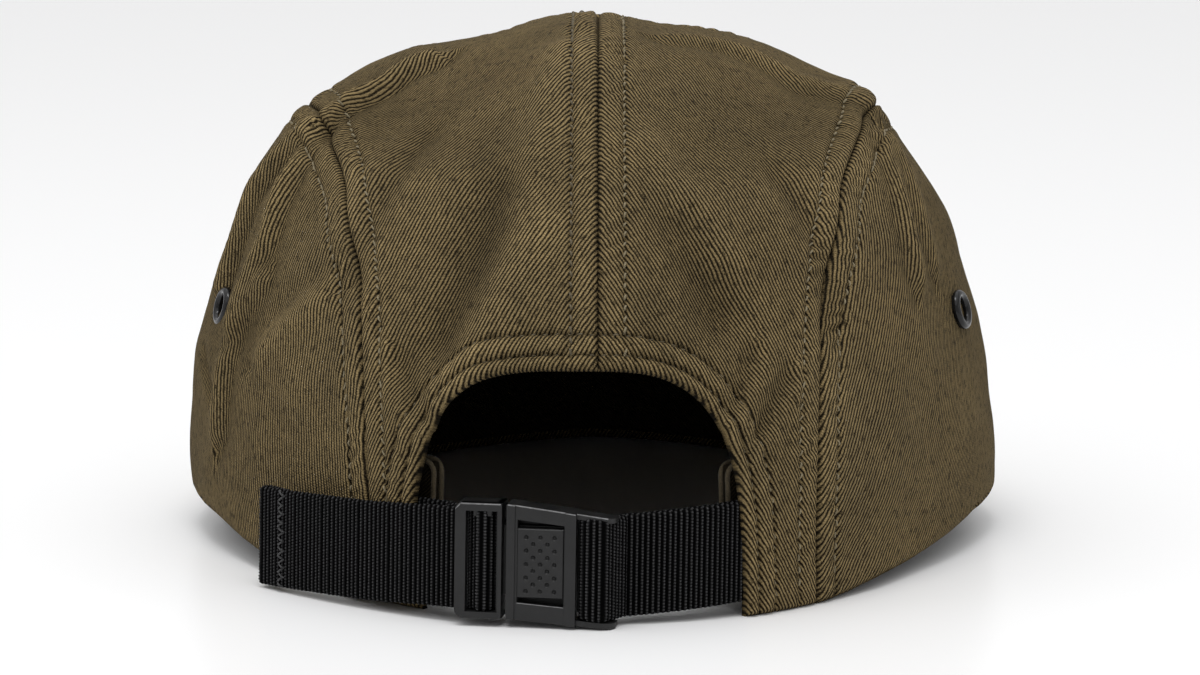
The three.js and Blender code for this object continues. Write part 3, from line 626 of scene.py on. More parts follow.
def cloth_relief(points):
    """The cloth's height over the smooth crown, how near a seam or edge is, and a crest value by which
    light is painted on its ridges and shade in its grooves.
    """
    soft = soft_fold_rise(points)
    relief = fold_rise(points) + soft + low_sides(points) + tucked_hem(points)
    for rise, size, seed in CLOTH_SWELLS:
        relief += rise * cloth_noise(points, size, seed)
    nearest = np.full(len(points), FAR)
    parts = []
    for name in SEAMS + HEMS + RIMS:
        away, run, side = LINES[name].away(points)
        if name in SEAMS:
            part = seam_relief(away, run, side)
        elif name in HEMS:
            part = hem_relief(away, run)
        else:
            part = rim_relief(away)
        parts.append(np.where(away < SEAM_REACH, part, 0))
        nearest = np.minimum(nearest, away)
    stacked = np.array(parts)
    sunk = np.minimum(stacked.min(0), 0)
    raised = np.maximum(stacked.max(0), 0) * smoothstep(nearest, 0.2, 1.2)
    sewn = sunk + raised
    # Painted light and shade: the crest is high on fold ridges and seam strips and low in grooves, with a
    # little random tone.
    crest = np.clip(0.5 + 0.16 * soft + 0.42 * sewn + 0.1 * cloth_noise(points, 22, 29), 0, 1)
    return relief + sewn, nearest, crest


def dressed_crown(disc):
    """The cloth's outer face at places on the disc, with its normals and what cloth_relief tells of it."""
    smooth = crown_at(disc)
    normals = crown_normals(disc)
    relief, nearest, crest = cloth_relief(smooth)
    return smooth + normals * relief[:, None], normals, nearest, crest


# Meshes
def shown(points):
    """Points of the shapes above, in metres in the cap's own frame."""
    moved = np.asarray(points, float) * MM
    return moved + (0, CAP_SHIFT * MM, 0)


def make_piece(name, points, faces, finish, nodes=(), weave=None, crest=None):
    """One object of the cap in its finish, which replaces the frame's nodes that are named."""
    mesh = bpy.data.meshes.new(name)
    mesh.from_pydata(shown(points).tolist(), [], [list(map(int, face)) for face in faces])
    mesh.materials.append(MATERIALS[finish])
    mesh.polygons.foreach_set("use_smooth", [True] * len(mesh.polygons))
    # The crest attribute carries the painted light and shade of the cloth's folds and seams.
    if crest is not None:
        raised = mesh.attributes.new("crest", "FLOAT", "POINT")
        raised.data.foreach_set("value", np.asarray(crest, float))
    if weave is not None:
        layer = mesh.uv_layers.new(name="weave")
        corners = np.empty(len(mesh.loops), int)
        mesh.loops.foreach_get("vertex_index", corners)
        layer.data.foreach_set("uv", (np.asarray(weave) * MM)[corners].ravel())
    mesh.validate()
    piece = bpy.data.objects.new(name, mesh)
    bpy.context.scene.collection.objects.link(piece)
    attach(piece, "root")
    if nodes:
        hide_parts(*nodes)
    return piece


def panel_outline(name):
    """The panel's outline, as places on the disc."""
    pieces = []
    for line_name in PANELS[name]:
        disc = LINES[line_name.lstrip("-")].disc
        disc = disc[::-1] if line_name.startswith("-") else disc
        pieces.append(disc[:-1])
    return np.concatenate(pieces)


def oriented(outline):
    x, y = outline[:, 0], outline[:, 1]
    area = np.sum(x * np.roll(y, -1) - np.roll(x, -1) * y)
    return outline if area > 0 else outline[::-1].copy()


def lattice(step):
    """Places all over the crown, in rings with an even spacing."""
    rises = np.linspace(0, math.pi / 2, 721)
    profile = smooth_crown(np.full_like(rises, 0.8), rises)
    run = np.concatenate([[0], np.cumsum(np.linalg.norm(np.diff(profile, axis=0), axis=1))])
    rings = int(run[-1] / (step * 0.88))
    places = []
    for i in range(1, rings + 1):
        rise = np.interp(run[-1] * i / rings, run, rises)
        around = 2 * math.pi * 92 * max(math.cos(rise) ** 0.86, 0.004)
        count = max(6, int(around / step))
        azimuth = (np.arange(count) + 0.5 * (i % 2)) * 2 * math.pi / count - math.pi
        places.append(disc_point(azimuth, np.full(count, rise)))
    return np.concatenate(places)


def nearest_distance(tree, points):
    return np.array([tree.find(p)[2] for p in points])


def valley_places(name, tree):
    """Rows of places that follow the needle valleys beside a panel's seams and hem."""
    chosen = []
    for line_name in PANELS[name]:
        bare = line_name.lstrip("-")
        rows = HEM_ROWS if bare in HEMS else (TOPSTITCH,) if bare in SEAMS else ()
        for row in rows:
            for offset in VALLEY_OFFSETS:
                for side in (1, -1):
                    places = LINES[bare].beside(row + offset, side)
                    points = crown_at(places)
                    inside = in_panel(name, points)
                    places, points = places[inside], points[inside]
                    if len(places):
                        chosen.append(places[nearest_distance(tree, points) > VALLEY_CLEARANCE])
    return np.concatenate(chosen)


def panel_places(name, outline, rings, fine_step, coarse_step):
    """Places inside a panel: rows close beside its outline, a fine band, then a wider lattice."""
    closed = Line(np.concatenate([outline, outline[:1]]))
    tree = point_tree(crown_at(outline))
    chosen = []
    for distance in rings:
        ring = closed.beside(distance, 1, 3)
        away = nearest_distance(tree, crown_at(ring))
        chosen.append(ring[away > distance * 0.93])
    reach = max(rings)
    bands = [(coarse_step, max(SEAM_BAND, reach), FAR)]
    if fine_step is not None:
        valleys = valley_places(name, tree)
        valley_tree = point_tree(crown_at(valleys))
        chosen.append(valleys)
        bands.insert(0, (fine_step, reach + 0.45, SEAM_BAND))
    for step, low, high in bands:
        places = lattice(step)
        points = crown_at(places)
        inside = in_panel(name, points)
        places, points = places[inside], points[inside]
        away = nearest_distance(tree, points)
        kept = (away > low) & (away < high)
        if fine_step is not None:
            kept &= nearest_distance(valley_tree, points) > 0.4
        chosen.append(places[kept])
    return np.concatenate(chosen)


def triangulated(outline, places):
    """Triangles that fill an outline through its inner places, with the index of each outline point."""
    every = np.concatenate([outline, places])
    ring = list(range(len(outline)))
    out = delaunay_2d_cdt([Vector(p) for p in every], [], [ring], 1, 1e-5)
    disc = np.array([tuple(p) for p in out[0]])
    triangles = np.array([f for f in out[2] if len(f) == 3], int)
    edge = np.zeros(len(outline), int)
    for index, sources in enumerate(out[3]):
        for source in sources:
            if source < len(outline):
                edge[source] = index
    return disc, triangles, edge


def profile_table():
    """Length of cloth up from the rim, by azimuth and rise."""
    azimuths = np.radians(np.arange(-180, 181, 3))
    rises = np.linspace(0, math.pi / 2, 181)
    grid = smooth_crown(azimuths[:, None] + 0 * rises, rises[None, :] + 0 * azimuths[:, None])
    run = np.linalg.norm(np.diff(grid, axis=1), axis=-1).cumsum(1)
    return azimuths, rises, np.concatenate([np.zeros((len(azimuths), 1)), run], 1)


PROFILE = profile_table()


def cloth_length(azimuth, rise):
    azimuths, rises, run = PROFILE
    a = np.clip((azimuth - azimuths[0]) / (azimuths[1] - azimuths[0]), 0, len(azimuths) - 1.001)
    r = np.clip(rise / rises[1], 0, len(rises) - 1.001)
    i, j = a.astype(int), r.astype(int)
    s, t = a - i, r - j
    low = run[i, j] * (1 - t) + run[i, j + 1] * t
    high = run[i + 1, j] * (1 - t) + run[i + 1, j + 1] * t
    return low * (1 - s) + high * s


# How fast the back panels' weave grows steeper away from the centre seam, per mm
WEAVE_TURN = 0.0085


def weave_of(name, disc):
    """Where each point lies on the flat cloth that the panel was cut from."""
    azimuth, rise = disc_turns(disc)
    up = cloth_length(azimuth, rise)
    if name.startswith("side"):
        turned = azimuth if name.endswith("left") else np.mod(azimuth, 2 * math.pi) - math.pi
        return np.stack([turned * 95 * np.cos(rise) ** 0.6, up], -1)
    points = crown_at(disc)
    across = points[:, 0] * 1.07
    over = cloth_length(np.array([math.pi / 2]), np.array([math.pi / 2])) + CENTRE_Y - points[:, 1]
    if name == "front_panel":
        return np.stack([across, up], -1)
    flat = smoothstep(points[:, 2], 84, 104)
    return np.stack([across, up + (over - up) * flat + WEAVE_TURN * across ** 2], -1)


PANEL_FINISHES = {
    "back_panel_left": "back twill left",
    "back_panel_right": "back twill right",
    "side_panel_left": "side twill left",
    "side_panel_right": "side twill right",
    "front_panel": "back twill left",
}


def build_panel(name):
    """A panel's finely meshed face and plain lining, closed by walls along its outline."""
    outline = oriented(panel_outline(name))
    fine, coarse = FACE_STEPS
    face_places = panel_places(name, outline, FACE_RINGS, fine, coarse)
    outer, outer_faces, outer_edge = triangulated(outline, face_places)
    lining_places = panel_places(name, outline, LINING_RINGS, None, LINING_STEP)
    inner, inner_faces, inner_edge = triangulated(outline, lining_places)
    face, _, _, crest = dressed_crown(outer)
    lined, normals, away, lined_crest = dressed_crown(inner)
    lined = lined - normals * (WALL - 0.35 * (away < 0.5))[:, None]
    shift = len(face)
    count = len(outline)
    walls = []
    for i in range(count):
        j = (i + 1) % count
        walls.append((outer_edge[j], outer_edge[i], inner_edge[i] + shift))
        walls.append((outer_edge[j], inner_edge[i] + shift, inner_edge[j] + shift))
    faces = [*outer_faces.tolist(), *(inner_faces[:, ::-1] + shift).tolist(), *walls]
    points = np.concatenate([face, lined])
    weave = np.concatenate([weave_of(name, outer), weave_of(name, inner)])
    crest = np.concatenate([crest, lined_crest])
    make_piece(name + "_cloth", points, faces, PANEL_FINISHES[name], [name], weave, crest)


# Stitches: small slanted threads that dip into the cloth at both ends
def tube_faces(rings, sides):
    """Faces of a closed tube whose rings of points follow each other."""
    faces = []
    for ring in range(rings - 1):
        for side in range(sides):
            a, b = ring * sides + side, ring * sides + (side + 1) % sides
            faces.append((a, b, b + sides, a + sides))
    last = (rings - 1) * sides
    faces.append(tuple(reversed(range(sides))))
    faces.append(tuple(last + side for side in range(sides)))
    return faces


def stitch(centre, normal, slip, radius, lift):
    """One thread along a few places of the cloth, slanted by its slip and sunk in at both ends."""
    along = centre[-1] - centre[0]
    along /= max(np.linalg.norm(along), 1e-6)
    beside = np.cross(normal, along)
    share = np.linspace(-1, 1, THREAD_RINGS)
    centre = centre + beside * (share * slip)[:, None]
    centre = centre + normal * (lift - 0.34 * share ** 4)[:, None]
    thick = radius * (1 - 0.55 * share ** 4)
    points = []
    for ring in range(THREAD_RINGS):
        for side in range(THREAD_SIDES):
            angle = 2 * math.pi * side / THREAD_SIDES
            spoke = beside[ring] * math.cos(angle) + normal[ring] * 0.8 * math.sin(angle)
            points.append(centre[ring] + spoke * thick[ring])
    return points, tube_faces(THREAD_RINGS, THREAD_SIDES)


def thread_row(places, length, slant, radius=STITCH_RADIUS, skip=0.0, lift=0.24):
    """Points and faces of a row of stitches along places on the disc."""
    line = Line(places, 0.4)
    surface, normals, _, _ = dressed_crown(line.disc)
    random = np.random.default_rng(int(line.length * 10) + 7)
    parts = []
    for k in range(int(line.length / STITCH_PITCH)):
        if random.random() < skip:
            continue
        middle = (k + 0.5) * STITCH_PITCH + random.normal(0, 0.08)
        size = length * random.uniform(0.86, 1.1)
        turn = slant + random.normal(0, 0.09)
        runs = middle + np.linspace(-0.5, 0.5, THREAD_RINGS) * size
        centre = np.stack([np.interp(runs, line.run, surface[:, j]) for j in range(3)], -1)
        normal = np.stack([np.interp(runs, line.run, normals[:, j]) for j in range(3)], -1)
        normal /= np.linalg.norm(normal, axis=1, keepdims=True)
        parts.append(stitch(centre, normal, 0.5 * size * math.sin(turn), radius, lift))
    return joined(parts)


def joined(parts):
    points, faces = [], []
    for part_points, part_faces in parts:
        base = len(points)
        points.extend(part_points)
        faces.extend([tuple(i + base for i in face) for face in part_faces])
    return points, faces


def build_stitches():
    """Every row of thread beside the crown's seams and round the opening's hem."""
    rows = {"pale thread": [], "olive thread": []}
    for name in SEAMS:
        for side in (1, -1):
            row = LINES[name].beside(TOPSTITCH, side, 8)[4:-3]
            pale = name.startswith("side") or (name == "centre" and side < 0)
            finish = "pale thread" if pale else "olive thread"
            rows[finish].append(thread_row(row, STITCH_LENGTH, 0.3 * side, skip=0.05))
    for name, side in (("opening_left", -1), ("opening_right", 1)):
        for distance in HEM_ROWS:
            row = LINES[name].beside(distance, side, 8)
            turning = int(len(row) * (0.5 if side > 0 else 0.72))
            upper, lower = row[:turning], row[turning:-4]
            rows["olive thread"].append(
                thread_row(upper, STITCH_LENGTH * 0.85, 0.2, radius=0.17, skip=0.03, lift=0.1)
            )
            rows["pale thread"].append(
                thread_row(lower, STITCH_LENGTH * 0.9, 0.35, radius=0.2, skip=0.05, lift=0.16)
            )
    for finish, parts in rows.items():
        points, faces = joined(parts)
        make_piece(finish.replace(" ", "_") + "_stitches", points, faces, finish)


# Webbing: a ribbed ribbon that stands on edge along a path in plan
def from_buckle(u, n):
    """A place of the buckle's own frame, seen from above in the cap's frame."""
    return BUCKLE_ORIGIN + BUCKLE_ALONG * u + BUCKLE_OUT * n


BUCKLE_TURN = math.radians(BUCKLE_AZIMUTH)
BUCKLE_ORIGIN = rim_outset(BUCKLE_TURN, BUCKLE_PROUD)
BUCKLE_ALONG = rim_plan(BUCKLE_TURN - math.radians(1)) - rim_plan(BUCKLE_TURN + math.radians(1))
BUCKLE_ALONG = BUCKLE_ALONG / np.linalg.norm(BUCKLE_ALONG)
BUCKLE_OUT = np.array((-BUCKLE_ALONG[1], BUCKLE_ALONG[0]))
LEAN = math.tan(math.radians(STRAP_LEAN))

LAYER = STRAP_THICKNESS + STRAP_GAP
TAIL_DEPTH = -FACE_THICKNESS - STRAP_GAP - STRAP_THICKNESS / 2
BACK_DEPTH = TAIL_DEPTH - LAYER
OVER_DEPTH = -STRAP_THICKNESS / 2 - STRAP_GAP
INNER_BAR_DEPTH = (OVER_DEPTH + BACK_DEPTH) / 2
INNER_TURN = INNER_BAR / 2 + STRAP_GAP + STRAP_THICKNESS / 2
INNER_BAR_CENTRE = MALE_RIGHT + MALE_END_BAR + STRAP_GAP + STRAP_THICKNESS / 2 + INNER_TURN
PIN_CENTRE = BAR_RIGHT - STRAP_GAP - STRAP_THICKNESS - STRAP_GAP - PIN_SIZE / 2
PIN_DEPTH = -BUCKLE_DEPTH / 2
PIN_TURN = PIN_SIZE / 2 + STRAP_GAP + STRAP_THICKNESS / 2


def opening_azimuth(x):
    """Azimuth of a place on the back of the rim, by its distance across."""
    return math.acos(x / HALF_WIDTH)


def rim_stretch(start, end, steps, outset):
    """Places along the rim between two azimuths, stood off it by a function of the share."""
    shares = np.linspace(0, 1, steps + 1)
    return [rim_outset(start + (end - start) * s, outset(s)) for s in shares]


def half_turn(centre_u, centre_n, radius_u, radius_n, facing, start_n):
    """Half way round a bar of the buckle, from one side of it to the other."""
    places = []
    for turn in np.linspace(0, math.pi, 9):
        u = centre_u + facing * radius_u * math.sin(turn)
        n = centre_n + start_n * radius_n * math.cos(turn)
        places.append(from_buckle(u, n))
    return places


def hidden_turn(x):
    """The turn round the rim that the webbing's hidden end takes up."""
    return STRAP_HIDDEN_LENGTH / np.linalg.norm(rim_plan(opening_azimuth(x)))


def tail_entry():
    """Where the adjuster strap reaches the buckle, as an azimuth."""
    return opening_azimuth(BUCKLE_ORIGIN[0] + MALE_LEFT + MALE_BAR)


def tail_outset(share):
    """How far the tail stands off the rim, by share of its way from the buckle to its end."""
    return TAIL_CROSSING + (TAIL_STAND_OFF - TAIL_CROSSING) * share ** 1.5


def tail_droop(reach):
    """How far the tail hangs, by place along the buckle."""
    return TAIL_DROOP * smoothstep(reach, MALE_LEFT + 6, MALE_LEFT + 52)


def adjuster_path():
    """From behind the left panel, round the buckle's inner bar and back over it to the folded tail."""
    edge = OPENING_CENTRE + OPENING_HALF_WIDTH
    start = opening_azimuth(edge) - hidden_turn(edge)
    entry = tail_entry()
    behind = -WALL - STRAP_GAP - STRAP_THICKNESS / 2
    turn_depth = (OVER_DEPTH - BACK_DEPTH) / 2
    tail = math.radians(TAIL_AZIMUTH)
    fold = FOLD_LENGTH / np.linalg.norm(rim_plan(tail))
    return np.array([
        *rim_stretch(start, entry, 5, lambda s: behind),
        from_buckle(MALE_LEFT, BACK_DEPTH),
        *half_turn(INNER_BAR_CENTRE, INNER_BAR_DEPTH, INNER_TURN, turn_depth, -1, -1),
        from_buckle(INNER_BAR_CENTRE + INNER_BAR / 2, OVER_DEPTH),
        from_buckle(MALE_LEFT - MALE_BAR - 2 * STRAP_GAP, TAIL_DEPTH),
        from_buckle(MALE_LEFT + STRAP_GAP, TAIL_DEPTH),
        *rim_stretch(entry - TAIL_CLEARANCE, tail, 9, tail_outset),
        rim_outset(tail - fold * 0.1, TAIL_STAND_OFF - LAYER / 2),
        *rim_stretch(tail, tail + fold, 2, lambda s: TAIL_STAND_OFF - LAYER),
    ])


def anchor_path():
    """From behind the right panel, round the buckle's pin and back."""
    edge = OPENING_CENTRE - OPENING_HALF_WIDTH
    start = opening_azimuth(edge) + hidden_turn(edge)
    entry = opening_azimuth(BUCKLE_ORIGIN[0] + RAIL_RIGHT - PIN_SIZE)
    outer = -WALL - STRAP_GAP - STRAP_THICKNESS / 2
    return np.array([
        *rim_stretch(start, entry, 6, lambda s: outer),
        from_buckle(PIN_CENTRE - PIN_SIZE, PIN_DEPTH + PIN_TURN * 0.9),
        *half_turn(PIN_CENTRE, PIN_DEPTH, PIN_TURN, PIN_TURN, 1, 1),
        from_buckle(PIN_CENTRE - PIN_SIZE, PIN_DEPTH - PIN_TURN),
        *rim_stretch(entry, start, 6, lambda s: outer - LAYER),
    ])


def buckle_u(points):
    return (points - BUCKLE_ORIGIN) @ BUCKLE_ALONG


def sag(u):
    """How far the receiving half and its webbing hang, by place along the buckle."""
    edge = OPENING_CENTRE - OPENING_HALF_WIDTH
    rim_u = buckle_u(rim_plan(opening_azimuth(edge)))
    lowest = FEMALE_DROP * (FEMALE_LEFT - RAIL_RIGHT)
    near = FEMALE_DROP * np.maximum(0, FEMALE_LEFT - u)
    far = lowest * np.maximum(0, 1 - (RAIL_RIGHT - u) / (RAIL_RIGHT - rim_u))
    return np.where(u > RAIL_RIGHT, near, far)


def rounded_path(path, step):
    """The path as a smooth curve with even steps, its corners eased."""
    run = np.concatenate([[0], np.cumsum(np.linalg.norm(np.diff(path, axis=0), axis=1))])
    fine = np.linspace(0, run[-1], int(run[-1] / 0.1) + 1)
    curve = np.stack([np.interp(fine, run, path[:, k]) for k in (0, 1)], -1)
    window = np.hanning(13)
    window /= window.sum()
    padded = np.pad(curve, ((6, 6), (0, 0)), mode="reflect", reflect_type="odd")
    curve = np.stack([np.convolve(padded[:, k], window, "valid") for k in (0, 1)], -1)
    run = np.concatenate([[0], np.cumsum(np.linalg.norm(np.diff(curve, axis=0), axis=1))])
    even = np.linspace(0, run[-1], int(run[-1] / step) + 1)
    return np.stack([np.interp(even, run, curve[:, k]) for k in (0, 1)], -1), even


def ribbon_faces(rows, columns):
    """Faces of a closed ribbon whose front points come first, row by row, then those of its back."""
    layer = (rows + 1) * columns
    faces = []
    for j in range(rows):
        for i in range(columns - 1):
            a = j * columns + i
            faces.append((a, a + 1, a + 1 + columns, a + columns))
            b = layer + a
            faces.append((b, b + columns, b + columns + 1, b + 1))
    top = rows * columns
    for i in range(columns - 1):
        faces.append((i + 1, i, layer + i, layer + i + 1))
        faces.append((top + i, top + i + 1, layer + top + i + 1, layer + top + i))
    for j in range(rows):
        a, b = j * columns, (j + 1) * columns
        faces.append((a, b, layer + b, layer + a))
        a, b = a + columns - 1, b + columns - 1
        faces.append((b, a, layer + a, layer + b))
    return [face[::-1] for face in faces]


def webbing(name, path, node, drops):
    """A ribbon with real ribs across it and a grain along each rib."""
    line, run = rounded_path(path, RIB_PITCH / RIB_SAMPLES)
    along = np.gradient(line, axis=0)
    along /= np.linalg.norm(along, axis=1, keepdims=True)
    out = np.stack([-along[:, 1], along[:, 0]], -1)
    rows = int(round(STRAP_WIDTH / (GRAIN_PITCH / 2)))
    heights = np.linspace(0, STRAP_WIDTH, rows + 1)
    random = np.random.default_rng(23 if drops else 11)
    ribs = np.floor(run / RIB_PITCH).astype(int)
    rib_strength = random.uniform(0.8, 1.2, ribs[-1] + 1)[ribs]
    rib = np.abs(np.sin(np.pi * run / RIB_PITCH)) ** 1.1 * rib_strength
    edge = np.minimum(heights, STRAP_WIDTH - heights)
    round_edge = np.sqrt(np.clip(1 - (1 - np.clip(edge / 0.9, 0, 1)) ** 2, 0.0, 1))
    reach = buckle_u(line)
    droop = tail_droop(reach) + 0.6 * hump(reach, 12, MALE_LEFT + 18)
    droop = droop * (run > run[-1] * 0.35)
    points, weave = [], []
    for sign in (1, -1):
        for j, height in enumerate(heights):
            grain = 0.2 * ((j + ribs) % 2)
            jitter = random.normal(0, 0.025, len(run))
            bulk = STRAP_THICKNESS / 2 - 0.55 + 0.52 * rib + grain * rib + jitter
            bulk = bulk * (0.25 + 0.75 * round_edge[j])
            ragged = 1 if j == rows else -1 if j == 0 else 0
            lift = STRAP_BOTTOM + height + 0.12 * (rib - 0.5) * ragged
            shifted = line + out * (sign * bulk)[:, None] - BUCKLE_OUT * (LEAN * height)
            drop = sag(buckle_u(shifted)) if drops else droop
            points.append(np.column_stack([shifted, lift - drop]))
            weave.append(np.column_stack([run, np.full_like(run, height)]))
    faces = ribbon_faces(rows, len(run))
    make_piece(name, np.concatenate(points), faces, "black webbing", [node], np.concatenate(weave))


def build_tail_stitches():
    """A close zigzag of thread across the webbing where its tail is folded back."""
    entry = tail_entry() - TAIL_CLEARANCE
    tail = math.radians(TAIL_AZIMUTH)
    reach = np.linalg.norm(rim_plan(tail))
    random = np.random.default_rng(5)
    parts = []
    for k in range(TAIL_STITCHES):
        height = 0.8 + k * (STRAP_WIDTH - 1.6) / (TAIL_STITCHES - 1)
        away = 4.5 + random.normal(0, 0.14)
        azimuths = tail + (away + np.array([-0.5, -0.2, 0.2, 0.5])) / reach
        outset = tail_outset((azimuths - entry) / (tail - entry)) + STRAP_THICKNESS / 2
        plan = rim_outset(azimuths, outset + np.array([-0.25, 0.2, 0.2, -0.25]))
        zigzag = np.array([-0.5, -0.2, 0.2, 0.5]) * (1 if k % 2 else -1)
        lift = height + zigzag + random.normal(0, 0.08)
        droop = tail_droop(buckle_u(plan))
        plan = plan - BUCKLE_OUT * (LEAN * lift[:, None])
        parts.append(cord(np.column_stack([plan, STRAP_BOTTOM + lift - droop]), 0.2, 6))
    points, faces = joined(parts)
    make_piece("webbing_stitches", points, faces, "webbing thread")


# Plastic: plates with windows cut in them, their edges rounded
def plate(outline, holes, front, back):
    """A plate in the buckle's own frame, as points and faces. Outlines are lists of (u, w)."""
    rings = [np.array(outline, float), *[np.array(hole, float) for hole in holes]]
    places = np.concatenate(rings)
    edges, start = [], 0
    for ring in rings:
        edges.extend((start + i, start + (i + 1) % len(ring)) for i in range(len(ring)))
        start += len(ring)
    out = delaunay_2d_cdt([Vector(p) for p in places], edges, [], 2, 1e-5)
    flat = np.array([tuple(p) for p in out[0]])
    triangles = []
    for face in out[2]:
        middle = flat[list(face)].mean(0)
        if not any(within(middle, hole) for hole in rings[1:]) and within(middle, rings[0]):
            triangles.append(tuple(face))
    count = len(flat)
    points = [(u, front, w) for u, w in flat] + [(u, back, w) for u, w in flat]
    faces = triangles + [tuple(i + count for i in reversed(face)) for face in triangles]
    used = dict.fromkeys((a, b) for face in triangles for a, b in zip(face, face[1:] + face[:1]))
    for a, b in used:
        if (b, a) not in used:
            faces.append((b, a, a + count, b + count))
    return points, faces


def within(place, ring):
    x, y = place
    inside = False
    for (x0, y0), (x1, y1) in zip(ring, np.roll(ring, -1, axis=0)):
        if (y0 > y) != (y1 > y) and x < x0 + (y - y0) * (x1 - x0) / (y1 - y0):
            inside = not inside
    return inside


def rectangle(left, right, bottom, top, corners=(0, 0, 0, 0)):
    """An outline with rounded corners, from the lower left anticlockwise as seen from behind the cap."""
    places = []
    spots = [(left, bottom, -1, 1), (right, bottom, 1, 1), (right, top, 1, -1), (left, top, -1, -1)]
    starts = [math.pi, 1.5 * math.pi, 0, 0.5 * math.pi]
    for (u, w, towards, up), radius, start in zip(spots, corners, starts):
        if radius == 0:
            places.append((u, w))
            continue
        for i in range(5):
            turn = start + i * math.pi / 8
            across = radius * math.cos(turn) - towards * radius
            upward = radius * math.sin(turn) + up * radius
            places.append((u + across, w + upward))
    return places


def in_cap(local, drop):
    """Points of the buckle's own frame in the cap's frame, lowered by a drop."""
    plan = BUCKLE_ORIGIN + local[:, :1] * BUCKLE_ALONG + local[:, 1:2] * BUCKLE_OUT
    plan = plan - BUCKLE_OUT * (LEAN * local[:, 2:3])
    return np.column_stack([plan, local[:, 2] - drop])


def plastic_piece(name, parts, node, drops, bevel=0.28, finish="black plastic"):
    """Joined plates and blocks of one moulding, turned into the cap's frame."""
    points, faces = joined(parts)
    local = np.array(points, float)
    drop = 0
    if drops:
        upper = np.clip((local[:, 2] - BUCKLE_MIDDLE) / (BUCKLE_TOP - BUCKLE_MIDDLE), 0, 1)
        drop = sag(local[:, 0]) + TOP_SLOPE * np.maximum(0, FEMALE_LEFT - 1.5 - local[:, 0]) * upper
    turned = [face[::-1] for face in faces]
    piece = make_piece(name, in_cap(local, drop), turned, finish, [node] if node else ())
    rounding = piece.modifiers.new("rounded edges", "BEVEL")
    rounding.width = bevel * MM
    rounding.segments = 3
    rounding.limit_method = "ANGLE"
    rounding.angle_limit = math.radians(32)
    rounding.use_clamp_overlap = True
    even = piece.modifiers.new("even shading", "WEIGHTED_NORMAL")
    even.keep_sharp = True


def on_end(part):
    """A plate drawn in plan, as (u, n), stood upright."""
    points, faces = part
    return [(u, w, n) for u, n, w in points], [face[::-1] for face in faces]


def block(u0, u1, n0, n1, w0=BUCKLE_BOTTOM, w1=BUCKLE_TOP):
    return plate(rectangle(min(u0, u1), max(u0, u1), w0, w1), [], max(n0, n1), min(n0, n1))


def build_male():
    """The half with the ladder bars: a frame on two rails, a bar between them, and its tongue."""
    bar_half = (OVER_DEPTH - BACK_DEPTH) / 2 - LAYER / 2 - STRAP_GAP
    window = rectangle(MALE_RIGHT + 0.75, MALE_LEFT - MALE_BAR, BUCKLE_BOTTOM + 1.3, BUCKLE_TOP - 1.5)
    around = rectangle(MALE_RIGHT, MALE_LEFT, BUCKLE_BOTTOM, BUCKLE_TOP, (0.3, 1.8, 1.2, 0.3))
    rail_left = MALE_LEFT - 0.6
    tongue = -FACE_THICKNESS - STRAP_GAP
    parts = [
        plate(around, [window], 0, -FACE_THICKNESS),
        block(rail_left, MALE_RIGHT, -1, -BUCKLE_DEPTH, w1=BUCKLE_BOTTOM + RAIL_THICKNESS),
        block(rail_left, MALE_RIGHT, -1, -BUCKLE_DEPTH, w0=BUCKLE_TOP - RAIL_THICKNESS),
        block(MALE_RIGHT + MALE_END_BAR, MALE_RIGHT, -1, -BUCKLE_DEPTH),
        block(INNER_BAR_CENTRE + INNER_BAR / 2, INNER_BAR_CENTRE - INNER_BAR / 2,
              INNER_BAR_DEPTH + bar_half, INNER_BAR_DEPTH - bar_half,
              BUCKLE_BOTTOM + 0.4, BUCKLE_TOP - 0.4),
    ]
    for tooth in (12.6, 10.4):
        parts.append(
            block(tooth, tooth - 1.5, -0.5, -FACE_THICKNESS + 0.2, BUCKLE_TOP - 2.6, BUCKLE_TOP - 1.2)
        )
    parts.append(
        block(MALE_RIGHT + 0.6, WINDOW_RIGHT + 0.3, tongue, tongue - TONGUE_THICKNESS,
              BUCKLE_MIDDLE - PAD_HEIGHT / 2, BUCKLE_MIDDLE + PAD_HEIGHT / 2)
    )
    plastic_piece("buckle_male_moulding", parts, "buckle_male", False)


